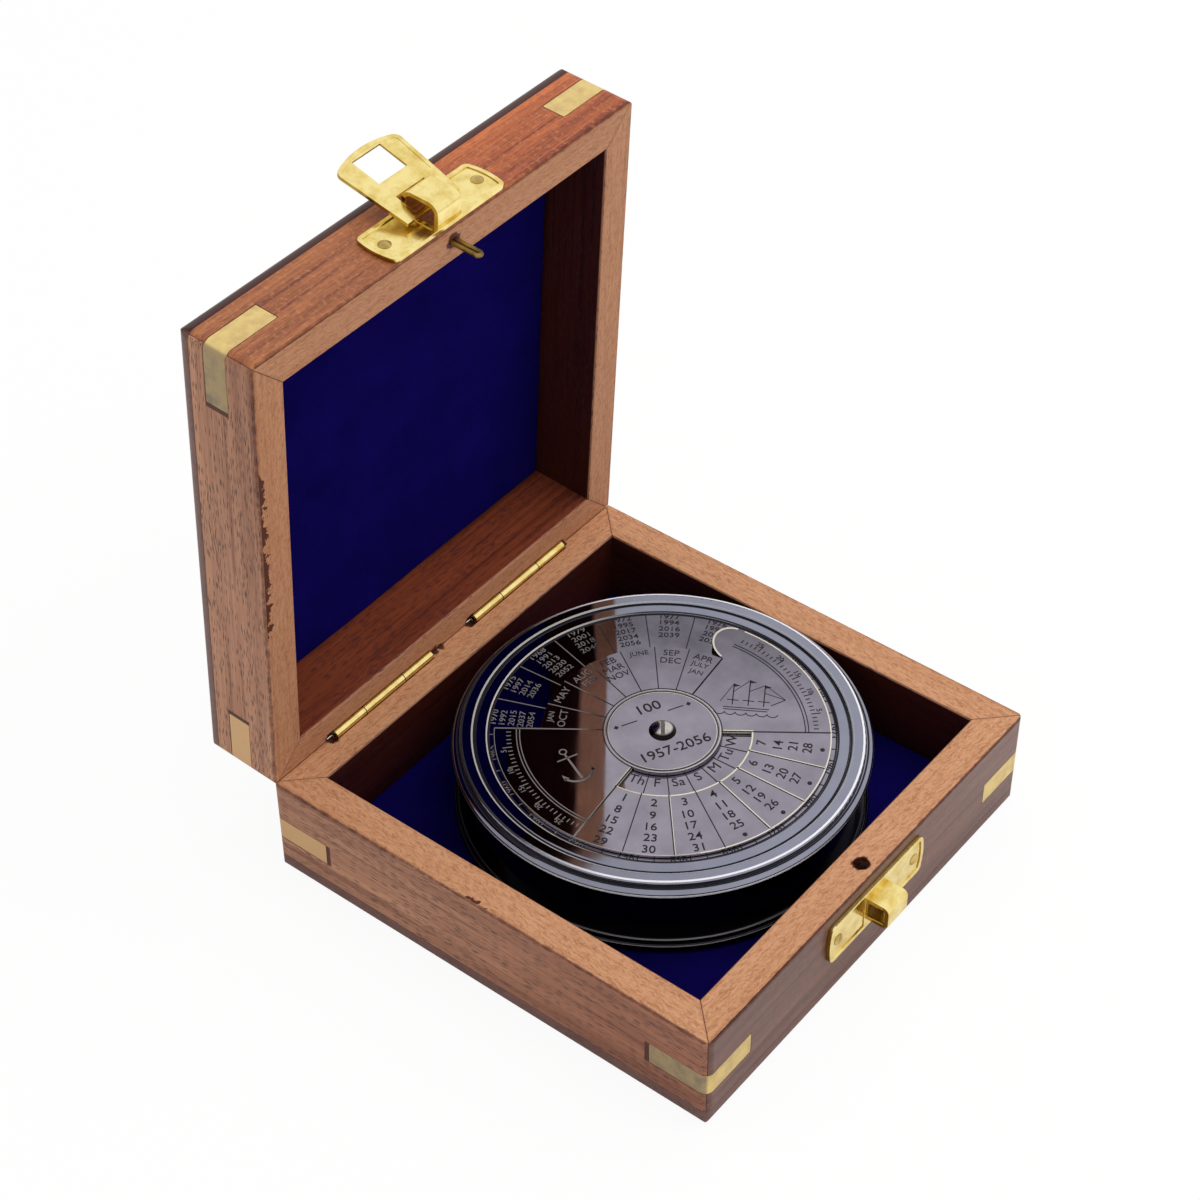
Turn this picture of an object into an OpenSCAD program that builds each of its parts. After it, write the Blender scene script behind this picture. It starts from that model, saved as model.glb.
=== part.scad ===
// Calendar compass in its hinged wooden box: a turned compass whose push-on cover
// carries a perpetual calendar, lying in a mitred, velvet-lined box with brass fittings.
// Millimetres, +Z up, origin at the centre of the box's underside, latch towards -Y.

/* [Compass] */
// Outer diameter of the compass cover, over its bead
cover_d = 78.6; // [66:0.2:92]
// Step in from the cover's bead to the foot flange
foot_inset = 0; // [0:0.1:1.6]
// Step in from the cover's bead to the waist of the case
waist_inset = 2.4; // [2:0.1:3.4]
// Height of the case up to the cover's seat
case_h = 14.3; // [13:0.1:20]
// Wall of the case above the glass
case_wall = 2; // [1.6:0.1:2.6]
// Floor of the case
case_floor = 2; // [1.2:0.1:3]
// Thickness of the glass
glass_t = 1.5; // [1:0.1:2]
// Depth of the cover's spigot inside the case
spigot_h = 3.4; // [2.4:0.1:4]
// Room between the needle's tips and the case
needle_room = 5.9; // [1:0.1:10]
// Angle of the needle's north end, counted from +X
needle_angle = 118; // [0:1:359]

/* [Calendar] */
// Room round the turning month disc in its recess
month_room = 1.1; // [0.8:0.1:3]
// Thickness of the month disc and of the year disc below it
disc_t = 0.45; // [0.35:0.05:0.8]
// Inner radius of the year window
year_window_r = 22.6; // [20:0.1:25]
// Inner radius of the weekday window
day_window_r0 = 11.2; // [9:0.1:12]
// Outer radius of the weekday window
day_window_r1 = 16.5; // [15:0.1:18]
// Angle at which the month columns start, counted from +X
months_start = 126.7; // [100:0.1:140]
// Angle by which the finger tab is bent up
tab_bend = 14; // [6:1:24]
// Diameter of the centre screw's shank
screw_d = 3; // [2:0.1:4]

/* [Box] */
// Thickness of the box's walls
wall_t = 7.4; // [6.4:0.1:9]
// Room round the compass inside the box
compass_room = 3.3; // [1.5:0.1:8]
// Height of the base up to its rim
base_h = 22.6; // [20:0.1:27]
// Depth of the lid up to its rim
lid_h = 17.3; // [15:0.1:22]
// Thickness of the bottom panel
base_panel_t = 4; // [3:0.1:5]
// Thickness of the lid's top panel
lid_panel_t = 3.2; // [3:0.1:4.5]
// Thickness of the velvet pad on the floor
base_lining_t = 3.8; // [2:0.1:5]
// Thickness of the velvet pad in the lid
lid_lining_t = 1.2; // [0.8:0.1:2]
// Radius of the upright corner edges
corner_r = 1.8; // [0.8:0.1:3]
// Radius of the base's bottom edges
base_edge_r = 2.2; // [0.8:0.1:2.8]
// Radius of the lid's top edges
lid_edge_r = 3; // [0.8:0.1:3]
// Ease sanded on the edges of the rims
rim_ease = 0.35; // [0.1:0.05:0.6]
// Thickness of the brass corner keys
key_t = 4.8; // [3:0.1:5.6]
// Height of the base's corner keys above the underside
base_key_z = 11.2; // [9:0.1:14]
// Height of the lid's corner keys above the lid's rim
lid_key_z = 8.3; // [7:0.1:10]
// Angle to which the lid opens
lid_open = 86.84; // [80:0.01:88]

/* [Hinges] */
// Length of each hinge
hinge_l = 27.5; // [20:0.5:32]
// Distance between the middles of the two hinges
hinge_spacing = 40.4; // [36:0.1:46]
// Distance of the hinge axis from the back face
hinge_inset = 1.05; // [1:0.05:1.6]
// Outer diameter of the hinge knuckles
knuckle_d = 2.2; // [1.5:0.05:2.6]
// Diameter of the hinge pins
hinge_pin_d = 0.84; // [0.7:0.02:0.9]
// Width of the hidden hinge leaves
leaf_w = 5; // [3:0.1:5.4]
// Thickness of the hinge leaves
leaf_t = 0.7; // [0.5:0.05:0.8]

/* [Latch] */
// Length of the latch and keeper plates
plate_l = 30; // [28:0.5:34]
// Height of the latch and keeper plates
plate_h = 9.2; // [8.8:0.1:9.6]
// Thickness of the latch and keeper plates
plate_t = 0.9; // [0.7:0.05:1.2]
// Height of the flap's axis above the lid's rim
pivot_up = 4.9; // [4.9:0.1:5.6]
// Radius of the plates' corners
plate_corner_r = 1.3; // [1:0.1:2]
// Distance of the nails from the middle of a plate
nail_x = 12.1; // [10.6:0.1:12.6]
// Width of the bent loops along the plate
loop_w = 6.2; // [5:0.1:6.6]
// Height of the lid's loop over its plate
lid_loop_h = 4.4; // [4:0.1:4.8]
// Height of the keeper's loop over its plate
keeper_loop_h = 4.4; // [3.4:0.1:5]
// Thickness of the flap's sheet
flap_t = 0.8; // [0.6:0.05:0.9]
// Width of the flap at its tip
flap_tip_w = 16.2; // [14:0.1:18]
// Width of the flap at its root
flap_root_w = 13.6; // [11.6:0.1:15]
// Length of the flap from its axis
flap_l = 16.7; // [15.8:0.1:18]
// Radius of the corners at the flap's tip
flap_corner_r = 1.7; // [1:0.1:3]
// Angle of the resting flap from the lid's front face
flap_rest = 14; // [12:0.5:20]
// Distance of the locating pin from the front face
pin_inset = 3.1; // [2.6:0.1:3.6]
// Diameter of the locating pin's wire
pin_wire_d = 0.9; // [0.7:0.05:1]
// Length of the locating pin below the lid's rim
pin_l = 6.4; // [5:0.1:7]

/* [Hidden] */
$fn = 96;

// Clearances
seat_gap = 0.1;        // a loose piece over its seat
fit_gap = 0.05;        // running fits, on the radius
glue_gap = 0.02;       // inlaid and glued pieces in their slots
rim_gap = 0.2;         // between the closed rims
stop_gap = 0.1;        // between the bevels that stop the open lid
lining_gap = 0.3;      // round the velvet pads
side_gap = 0.6;        // between the cover and the right wall
sweep_gap = 0.5;       // round pieces that swing past each other
cut = 1;               // run-out of a cut past a face
arc_lap = 0.002;       // by which corner arcs overlap what they run into

// Box, square in plan and made to hold the compass
cavity_w = cover_d + 2 * compass_room;
box_w = cavity_w + 2 * wall_t;
half_w = box_w / 2;
half_cavity = cavity_w / 2;
lid_z = base_h + rim_gap;
lid_top = lid_z + lid_h;
floor_z = base_panel_t + base_lining_t;
key_cover = 2.2;       // wood left inside a corner key, along a wall
key_leg = 2 * wall_t - key_cover;

// Hinge
hinge_y = half_w - hinge_inset;
hinge_z = base_h + rim_gap / 2;
knuckle_gap = 0.15;    // between neighbouring knuckles
middle_share = 0.4;    // middle knuckle's share of the hinge
middle_l = hinge_l * middle_share;
side_l = (hinge_l - middle_l) / 2 - knuckle_gap;
groove_gap = 0.12;     // round the knuckles in the rims
groove_run = 1.6;      // open end of the knuckle groove
leaf_angle = 45;       // leaves go into slanted saw cuts
tab_inset = 0.1;       // leaf tabs are narrower than their knuckles

// Latch
plate_rim = 0.9;       // raised border of the pressed plates
emboss = 0.25;         // height of that border
pivot_h = 1;           // height of the flap's axis over the plate
pivot_z = lid_z + pivot_up;
bar_w = 1;             // flap's root bar, held under the loop
loop_t = 0.9;
lid_loop_r = 2.2;      // shoulders of the loops
keeper_loop_r = 1.3;
lid_loop_l = 8.2;
loop_room = 0.4;       // spare length of the window that the lid's loop passes
window_s = lid_loop_l / 2 + sweep_gap + loop_room;
hole_rim = 1.5;        // flap left outside the square hole
hole_l = 6.3;
hole_w = loop_w + 2 * sweep_gap;
hole_s = flap_l - hole_rim - hole_l / 2;
keeper_z = pivot_z - hole_s;
keeper_loop_l = hole_l - 2 * sweep_gap;
tip_r = 19.7;          // arc of the flap's tip
nail_head_d = 2.5;
nail_head_h = 0.5;
nail_d = 1;
nail_l = 4;
nail_room = 0.5;       // hole past a nail's end

// Locating pin, a bent wire in the lid's front rim
pin_y = -half_w + pin_inset;
pin_leg = 0.55;        // half the distance between its legs
pin_root = 4;          // length inside the lid
pin_room = 0.5;        // round the pin in its hole
pin_bore_d = 2 * (pin_leg + pin_room) + pin_wire_d;

// Compass, lying against the right wall
compass_x = half_cavity - cover_d / 2 - side_gap;
compass_y = -0.3;
compass_z = floor_z + seat_gap;
cover_r = cover_d / 2;
foot_r = cover_r - foot_inset;
waist_r = cover_r - waist_inset;
neck_r = waist_r - case_wall;
foot_bead = 0.9;       // radius of the foot's lower bead
upper_bead = 0.7;      // radius of the smaller bead above it
bead_step = 0.55;      // upper bead inside the lower one
bead_sink = 0.2;       // overlap of the two beads
ledge_w = 1;           // step that carries the glass
ring_h = 0.9;
spigot_wall = 1.3;
ring_top_gap = 0.6;
glass_z = case_h - spigot_h - ring_top_gap - ring_h - glass_t;
card_t = 0.5;
card_gap = 0.2;
pivot_d = 2;
point_d = 0.15;        // flat on the pivot's point
point_h = 2;           // cone of the pivot
point_up = 1;          // point above the needle's underside
cap_gap = 0.8;         // between the needle's cap and the glass
needle_r = neck_r - ledge_w - needle_room;
needle_t = 0.4;
needle_w = 5;
needle_tip = 0.6;
cap_d = 4.4;
cap_lip = 0.6;         // flange of the cap over the needle
cap_skirt = 0.6;       // cap below the needle
cap_side = 1.2;
cap_taper = 0.4;
cap_top = 1.9;
cap_flat = 0.8;
cup_gap = 0.15;        // mouth of the cap's cup round the pivot
needle_z = glass_z - cap_gap - cap_top;
collar_r = cap_d / 2 - cap_lip;

// Cover, measured from its seat on the case
seat_z = case_h + seat_gap;
bead_r = 0.9;
crest_r = 0.5;
crest_in = 1.9;        // rim's rounded edge inside the bead's outermost circle
crest_up = 0.02;       // by which the rim's rounded edge laps over the flat ring
rim_z = 2.9;           // flat ring inside the rounded edge
inner_rim_z = 2.7;     // flat ring inside the groove
groove_in = 4.2;       // groove inside the bead's outermost circle
groove_r = cover_r - groove_in;
groove_w = 0.45;
groove_h = 0.4;
recess_w = 6.7;        // rim from the bead to the recess
recess_r = cover_r - recess_w;
recess_z = 1.9;        // floor of the recess that holds the discs
plate_under = -0.4;    // underside of the cover's plate
disc_lift = 0.15;      // month disc over the year disc
year_z = seat_z + recess_z;
month_z = year_z + disc_t + disc_lift;
month_r = recess_r - month_room;
columns = 21;          // three weeks round the dial
column = 360 / columns;
month_cols = 7;        // month columns, then a plain field, then seven date columns
field_cols = 3.5;
date_cols = 7;
days_start = months_start - (month_cols + field_cols) * column;
tab_room = 0.1;        // finger tab inside the year window's width
tab_mid = (year_window_r + month_r) / 2;
tab_r = (month_r - year_window_r) / 2 - tab_room;
screw_head_d = screw_d + 2.2;
screw_head_h = 1.4;
screw_slot = 0.7;
slot_angle = 38;
nut_d = screw_d + 2.4;
nut_h = 1.4;
washer_d = screw_d + 3;
washer_t = 0.5;

wood = "#7A4630";
brass = "#C9A84A";
velvet = "#120A52";
gunmetal = "#5B5A60";

// Plan and sections

module plan(w, r) {
  square([w - 2 * r, w], center = true);
  square([w, w - 2 * r], center = true);
  for (x = [-1, 1], y = [-1, 1])
    translate([x * (w / 2 - r), y * (w / 2 - r)]) circle(r);
}

// Side view of a box half, standing on y = 0 with its lower corners rounded and its rim eased
module section(w, h, r) {
  polygon([
    [-w / 2, r], [w / 2, r], [w / 2, h - rim_ease], [w / 2 - rim_ease, h],
    [-w / 2 + rim_ease, h], [-w / 2, h - rim_ease]
  ]);
  translate([-w / 2 + r, 0]) square([w - 2 * r, h - rim_ease]);
  for (x = [-1, 1]) translate([x * (w / 2 - r), r]) circle(r);
}

// Outer form of a box half, from its rounded face upwards
module half_form(h, edge_r) {
  intersection() {
    linear_extrude(h) plan(box_w, corner_r);
    rotate([90, 0, 0]) linear_extrude(box_w + 2 * cut, center = true) section(box_w, h, edge_r);
    rotate([90, 0, 90]) linear_extrude(box_w + 2 * cut, center = true) section(box_w, h, edge_r);
  }
}

module base_form() {
  half_form(base_h, base_edge_r);
}

module lid_form() {
  translate([0, 0, lid_top]) mirror([0, 0, 1]) half_form(lid_h, lid_edge_r);
}

// Mitred strip of one wall: side 0 front, 1 right, 2 back, 3 left
module mitred(side, z0, z1) {
  translate([0, 0, z0]) rotate(90 * side) linear_extrude(z1 - z0)
    polygon([
      [-half_w, -half_w], [half_w, -half_w],
      [half_cavity, -half_cavity], [-half_cavity, -half_cavity]
    ]);
}

// Triangular key let in across a mitred corner
module key(z, side, grow) {
  reach = key_leg + 2 * grow;
  rotate(90 * side) translate([-half_w, -half_w, z - key_t / 2 - grow])
    linear_extrude(key_t + 2 * grow)
      polygon([[-cut, -cut], [reach + cut, -cut], [reach, 0], [0, reach], [-cut, reach + cut]]);
}

module key_slots(z) {
  for (side = [0:3]) key(z, side, glue_gap);
}

// Ease along a rim's inner edge
module inner_ease(side, z) {
  rotate(90 * side) translate([0, -half_cavity, z]) rotate([45, 0, 0])
    cube([cavity_w + 2 * cut, rim_ease * sqrt(2), rim_ease * sqrt(2)], center = true);
}

module base_wall(side) {
  difference() {
    intersection() {
      base_form();
      mitred(side, base_panel_t, base_h);
    }
    key_slots(base_key_z);
    inner_ease(side, base_h);
    stop_bevel(-1);
  }
}

module lid_wall(side) {
  difference() {
    intersection() {
      lid_form();
      mitred(side, lid_z, lid_top - lid_panel_t);
    }
    key_slots(lid_z + lid_key_z);
    inner_ease(side, lid_z);
    stop_bevel(1);
  }
}

// Poses

module on_lid() {
  translate([0, hinge_y, hinge_z]) rotate([-lid_open, 0, 0]) translate([0, -hinge_y, -hinge_z]) children();
}

// Front face at height z: x along the box, y up, z outwards
module on_front(z) {
  translate([0, -half_w, z]) rotate([90, 0, 0]) children();
}

module at_hinges() {
  for (x = [-1, 1]) translate([x * hinge_spacing / 2, hinge_y, hinge_z]) children();
}

module at_compass(z) {
  translate([compass_x, compass_y, compass_z + z]) children();
}

// Hinges

module along_x(d, l) {
  rotate([0, 90, 0]) cylinder(d = d, h = l, center = true);
}

// Bevel along the back edge, where the open lid stops; side is 1 on the lid and -1 on the base
module stop_bevel(side) {
  bevel = lid_open / 2;
  back = hinge_inset + cut;
  translate([0, hinge_y, hinge_z + side * stop_gap / 2 / cos(bevel)])
    rotate([90, 0, 90]) linear_extrude(box_w + 2 * cut, center = true)
      polygon([[0, 0], [back, side * back * tan(bevel)], [back, -side * cut], [0, -side * cut]]);
}

// Knuckle groove and leaf slot in a back rim
module hinge_cuts(side) {
  at_hinges() {
    translate([-groove_run / 2, 0, 0])
      along_x(knuckle_d + 2 * groove_gap, hinge_l + groove_run + 2 * groove_gap);
    rotate([-side * leaf_angle, 0, 0])
      translate([-hinge_l / 2 - glue_gap, -leaf_w - glue_gap, -leaf_t / 2 - glue_gap])
        cube([hinge_l + 2 * glue_gap, leaf_w + glue_gap, leaf_t + 2 * glue_gap]);
  }
}

function knuckle_l(place) = place == 0 ? middle_l : side_l;

// One leaf with its knuckles, at the given places along the hinge (-1, 0 and 1)
module leaf(side, places) {
  step = (middle_l + side_l) / 2 + knuckle_gap;
  free = knuckle_d / 2 + groove_gap;
  difference() {
    union() {
      rotate([-side * leaf_angle, 0, 0]) linear_extrude(leaf_t, center = true) {
        translate([-hinge_l / 2, -leaf_w]) square([hinge_l, leaf_w - free]);
        for (p = places) translate([p * step - knuckle_l(p) / 2 + tab_inset, -leaf_w])
          square([knuckle_l(p) - 2 * tab_inset, leaf_w]);
      }
      for (p = places) translate([p * step, 0, 0]) along_x(knuckle_d, knuckle_l(p));
    }
    along_x(hinge_pin_d + 2 * fit_gap, hinge_l + cut);
  }
}

// Latch

// Strip with round ends and small corner arcs that run into them, all drawn in by the width rim
module plate_outline(rim) {
  r = plate_corner_r - rim;
  end_r = plate_l / 2 - rim;
  y = plate_h / 2 - rim - r;
  x = sqrt((end_r - r) ^ 2 - y ^ 2);
  square([2 * x, plate_h - 2 * rim], center = true);
  for (sx = [-1, 1]) {
    intersection() {
      circle(end_r);
      polygon([[0, 0], [sx * plate_l, -plate_l * y / x], [sx * plate_l, plate_l * y / x]]);
    }
    for (sy = [-1, 1]) translate([sx * x, sy * y]) circle(r + arc_lap);
  }
}

// Round-shouldered arch over the line y = 0
module arch(l, h, r) {
  translate([-l / 2, 0]) square([l, h - r]);
  translate([-l / 2 + r, 0]) square([l - 2 * r, h]);
  for (x = [-1, 1]) translate([x * (l / 2 - r), h - r]) circle(r);
}

// Loop bent up out of a plate, open along x
module loop(l, h, r) {
  translate([0, 0, plate_t]) rotate([90, 0, 90]) linear_extrude(loop_w, center = true)
    difference() {
      arch(l, h, r);
      translate([0, -cut]) arch(l - 2 * loop_t, h - loop_t + cut, r - loop_t);
    }
}

// Plate with a raised border, and a strip lanced out of it and bent up to a loop
module pressed_plate(loop_l, loop_h, loop_r) {
  difference() {
    linear_extrude(plate_t) plate_outline(0);
    translate([0, 0, plate_t - emboss]) difference() {
      linear_extrude(cut) plate_outline(plate_rim);
      cube([loop_w + 2 * loop_t, plate_h, 3 * cut], center = true);
    }
    for (x = [-1, 1]) translate([x * nail_x, 0, -cut]) cylinder(d = nail_d + 2 * glue_gap, h = 3 * cut);
    cube([loop_w, loop_l - 2 * loop_t, 3 * plate_t], center = true);
  }
  loop(loop_l, loop_h, loop_r);
}

// Domed nails through a plate into the wood
module nails() {
  for (x = [-1, 1]) translate([x * nail_x, 0, 0]) {
    translate([0, 0, -nail_l]) cylinder(d = nail_d, h = nail_l + plate_t - emboss + glue_gap);
    translate([0, 0, plate_t - emboss + glue_gap]) dome(nail_head_d, nail_head_h);
  }
}

module nail_holes() {
  for (x = [-1, 1]) translate([x * nail_x, 0, -nail_l - nail_room])
    cylinder(d = nail_d + 2 * glue_gap, h = nail_l + nail_room + cut);
}

// Spherical cap of diameter d and height h
module dome(d, h) {
  ball = (d * d / 4 + h * h) / (2 * h);
  rotate_extrude() intersection() {
    translate([0, h - ball]) circle(ball);
    square([d, h]);
  }
}

// Sheet outline of the flap, drawn along y from its axis and drawn in by the width rim. Its sides
// spread by the angle flare, and corner arcs centred at (x, y) run into the arc of its tip.
module flap_outline(rim) {
  r = flap_corner_r - rim;
  flare = atan2((flap_tip_w - flap_root_w) / 2, flap_l);
  tip_y = flap_l - tip_r;
  axis_w = flap_root_w / 2 - rim;
  line_w = axis_w - r / cos(flare);
  turn = line_w * tan(flare) - tip_y;
  rest = line_w ^ 2 + tip_y ^ 2 - (tip_r - rim - r) ^ 2;
  y = (sqrt(turn ^ 2 - rest / cos(flare) ^ 2) - turn) * cos(flare) ^ 2;
  x = line_w + y * tan(flare);
  side_x = x + r * cos(flare);
  side_y = y - r * sin(flare);
  polygon([
    [-axis_w, -bar_w / 2 + rim], [axis_w, -bar_w / 2 + rim], [axis_w, 0], [side_x, side_y],
    [x, y], [-x, y], [-side_x, side_y], [-axis_w, 0]
  ]);
  intersection() {
    translate([0, tip_y]) circle(tip_r - rim);
    polygon([[-x, y], [x, y], [2 * x, 2 * y - tip_y], [-2 * x, 2 * y - tip_y]]);
  }
  for (sx = [-1, 1]) translate([sx * x, y]) circle(r + arc_lap);
}

module flap_sheet() {
  face = (flap_t - emboss) / 2;
  difference() {
    translate([0, 0, -flap_t / 2]) linear_extrude(flap_t) flap_outline(0);
    for (z = [face, -face - cut]) translate([0, 0, z]) linear_extrude(cut)
      intersection() {
        flap_outline(plate_rim);
        translate([-flap_tip_w / 2, window_s + plate_rim]) square([flap_tip_w, flap_l]);
      }
    translate([-hole_w / 2, bar_w / 2, -cut]) cube([hole_w, window_s - bar_w / 2, 2 * cut]);
    translate([-hole_w / 2, hole_s - hole_l / 2, -cut]) cube([hole_w, hole_l, 2 * cut]);
  }
}

// Bent wire of the locating pin, hanging from z = 0
module hairpin() {
  bend_z = -pin_l + pin_leg + pin_wire_d / 2;
  for (x = [-1, 1]) translate([x * pin_leg, 0, bend_z]) cylinder(d = pin_wire_d, h = pin_root - bend_z);
  translate([0, 0, bend_z]) rotate([-90, 0, 0]) rotate_extrude(angle = 180)
    translate([pin_leg, 0]) circle(d = pin_wire_d);
}

// Calendar discs

// Part of a ring between two angles
module sector(r0, r1, h, from, to) {
  rotate(from) rotate_extrude(angle = to - from) translate([r0, 0]) square([r1 - r0, h]);
}

module month_sheet() {
  window_end = months_start - month_cols * column;
  difference() {
    cylinder(r = month_r, h = disc_t);
    translate([0, 0, -cut])
      sector(year_window_r, month_r + cut, disc_t + 2 * cut, window_end, months_start);
    translate([0, 0, -cut])
      sector(day_window_r0, day_window_r1, disc_t + 2 * cut, days_start - date_cols * column, days_start);
    translate([0, 0, -cut]) cylinder(d = screw_d + 2 * fit_gap, h = disc_t + 2 * cut);
  }
  // Finger tab, bent up from the end of the window
  rotate(window_end) translate([tab_mid, 0, 0]) rotate([tab_bend, 0, 0]) intersection() {
    cylinder(r = tab_r, h = disc_t);
    translate([-tab_r, 0, 0]) cube([2 * tab_r, tab_r, disc_t]);
  }
}

// Turned sections, radius along x

module case_section() {
  upper_r = foot_r - bead_step;
  upper_z = 2 * foot_bead - bead_sink;
  square([waist_r, case_floor]);
  translate([neck_r - ledge_w, 0]) square([case_wall + ledge_w, glass_z]);
  translate([neck_r, 0]) square([case_wall, case_h]);
  translate([neck_r, 0]) square([foot_r - foot_bead - neck_r, 2 * foot_bead]);
  translate([foot_r - foot_bead, foot_bead]) circle(foot_bead);
  translate([neck_r, 0]) square([upper_r - upper_bead - neck_r, upper_z + 2 * upper_bead]);
  translate([upper_r - upper_bead, upper_z + upper_bead]) circle(upper_bead);
}

module cover_section() {
  crest = cover_r - crest_in;
  crest_z = rim_z + crest_up - crest_r;
  difference() {
    union() {
      translate([0, plate_under]) square([neck_r - fit_gap, recess_z - plate_under]);
      square([cover_r - bead_r, 2 * bead_r]);
      translate([cover_r - bead_r, bead_r]) circle(bead_r);
      translate([0, bead_r]) square([crest, rim_z - bead_r]);
      translate([0, bead_r]) square([crest + crest_r, crest_z - bead_r]);
      translate([crest, crest_z]) circle(crest_r);
      translate([neck_r - fit_gap - spigot_wall, -spigot_h])
        square([spigot_wall, spigot_h + recess_z]);
    }
    translate([-cut, inner_rim_z]) square([groove_r + cut, 2 * cut]);
    translate([groove_r - groove_w / 2, inner_rim_z - groove_h]) square([groove_w, 2 * cut]);
    translate([-cut, recess_z]) square([recess_r + cut, 3 * cut]);
    translate([-cut, -spigot_h - cut]) square([screw_d / 2 + glue_gap + cut, spigot_h + 3 * cut]);
  }
}

// Nodes: base

module base_front_wall() {
  color(wood) difference() {
    base_wall(0);
    on_front(keeper_z) nail_holes();
    translate([0, pin_y, base_h - pin_l - cut]) cylinder(d = pin_bore_d, h = pin_l + 2 * cut);
  }
}

module base_back_wall() {
  color(wood) difference() {
    base_wall(2);
    hinge_cuts(-1);
  }
}

module base_left_wall() {
  color(wood) base_wall(3);
}

module base_right_wall() {
  color(wood) base_wall(1);
}

module base_panel() {
  color(wood) intersection() {
    base_form();
    translate([-box_w, -box_w, 0]) cube([2 * box_w, 2 * box_w, base_panel_t]);
  }
}

module base_corner_keys() {
  color(brass) for (side = [0:3]) intersection() {
    base_form();
    key(base_key_z, side, 0);
  }
}

module base_lining() {
  color(velvet) translate([0, 0, base_panel_t]) linear_extrude(base_lining_t)
    square(cavity_w - 2 * lining_gap, center = true);
}

module base_hinge_leaves() {
  color(brass) at_hinges() leaf(-1, [-1, 1]);
}

module hinge_pins() {
  color(brass) at_hinges() along_x(hinge_pin_d, hinge_l);
}

module keeper_plate() {
  color(brass) on_front(keeper_z) pressed_plate(keeper_loop_l, keeper_loop_h, keeper_loop_r);
}

module keeper_nails() {
  color(brass) on_front(keeper_z) nails();
}

// Nodes: lid

module lid_front_wall() {
  color(wood) on_lid() difference() {
    lid_wall(0);
    on_front(pivot_z) nail_holes();
    for (x = [-1, 1]) translate([x * pin_leg, pin_y, lid_z - cut])
      cylinder(d = pin_wire_d + 2 * glue_gap, h = pin_root + glue_gap + cut);
  }
}

module lid_back_wall() {
  color(wood) on_lid() difference() {
    lid_wall(2);
    hinge_cuts(1);
  }
}

module lid_left_wall() {
  color(wood) on_lid() lid_wall(3);
}

module lid_right_wall() {
  color(wood) on_lid() lid_wall(1);
}

module lid_panel() {
  color(wood) on_lid() intersection() {
    lid_form();
    translate([-box_w, -box_w, lid_top - lid_panel_t]) cube([2 * box_w, 2 * box_w, lid_panel_t]);
  }
}

module lid_corner_keys() {
  color(brass) on_lid() for (side = [0:3]) intersection() {
    lid_form();
    key(lid_z + lid_key_z, side, 0);
  }
}

module lid_lining() {
  color(velvet) on_lid() translate([0, 0, lid_top - lid_panel_t - lid_lining_t]) linear_extrude(lid_lining_t)
    square(cavity_w - 2 * lining_gap, center = true);
}

module lid_hinge_leaves() {
  color(brass) on_lid() at_hinges() leaf(1, [0]);
}

module latch_plate() {
  color(brass) on_lid() on_front(pivot_z) pressed_plate(lid_loop_l, lid_loop_h, lid_loop_r);
}

module latch_nails() {
  color(brass) on_lid() on_front(pivot_z) nails();
}

module locating_pin() {
  color(brass) on_lid() translate([0, pin_y, lid_z]) hairpin();
}

module latch_flap() {
  color(brass) on_lid() on_front(pivot_z) translate([0, 0, plate_t + pivot_h]) rotate([flap_rest, 0, 0])
    flap_sheet();
}

// Nodes: compass

module compass_case() {
  color(gunmetal) at_compass(0) difference() {
    rotate_extrude() case_section();
    translate([0, 0, -cut]) cylinder(d = pivot_d + 2 * glue_gap, h = case_floor + 2 * cut);
  }
}

module needle_pivot() {
  shank = needle_z + point_up - point_h;
  color(brass) at_compass(0) {
    cylinder(d = pivot_d, h = shank);
    translate([0, 0, shank]) cylinder(d1 = pivot_d, d2 = point_d, h = point_h);
  }
}

module compass_card() {
  color("ivory") at_compass(case_floor) difference() {
    cylinder(r = neck_r - ledge_w - card_gap, h = card_t);
    translate([0, 0, -cut]) cylinder(d = pivot_d + 2 * card_gap, h = card_t + 2 * cut);
  }
}

module glass() {
  color("lightcyan", 0.4) at_compass(glass_z) cylinder(r = neck_r - fit_gap, h = glass_t);
}

// Split spring ring that holds the glass down
module glass_ring() {
  opening = 12;
  color(brass) at_compass(glass_z + glass_t)
    sector(neck_r - fit_gap - ledge_w, neck_r - fit_gap, ring_h, opening, 360);
}

module compass_needle() {
  color("steelblue") at_compass(needle_z) rotate(needle_angle) difference() {
    linear_extrude(needle_t) polygon([
      [needle_r, needle_tip / 2], [0, needle_w / 2], [-needle_r, needle_tip / 2],
      [-needle_r, -needle_tip / 2], [0, -needle_w / 2], [needle_r, -needle_tip / 2]
    ]);
    translate([0, 0, -cut]) cylinder(r = collar_r + glue_gap, h = needle_t + 2 * cut);
  }
}

// Cup that rides on the pivot's point
module needle_cap() {
  cup_z = point_up + seat_gap;
  lip_z = needle_t + glue_gap;
  color(brass) at_compass(needle_z) rotate_extrude() polygon([
    [0, cap_top], [0, cup_z], [point_d, cup_z], [pivot_d / 2 + cup_gap, -cap_skirt],
    [collar_r, -cap_skirt], [collar_r, lip_z], [cap_d / 2, lip_z], [cap_d / 2 - cap_taper, cap_side],
    [cap_flat, cap_top]
  ]);
}

// Nodes: calendar cover

module calendar_cover() {
  color(gunmetal) at_compass(seat_z) rotate_extrude() cover_section();
}

module year_disc() {
  color(gunmetal) at_compass(year_z) difference() {
    cylinder(r = recess_r - fit_gap, h = disc_t);
    translate([0, 0, -cut]) cylinder(d = screw_d + 2 * glue_gap, h = disc_t + 2 * cut);
  }
}

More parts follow.
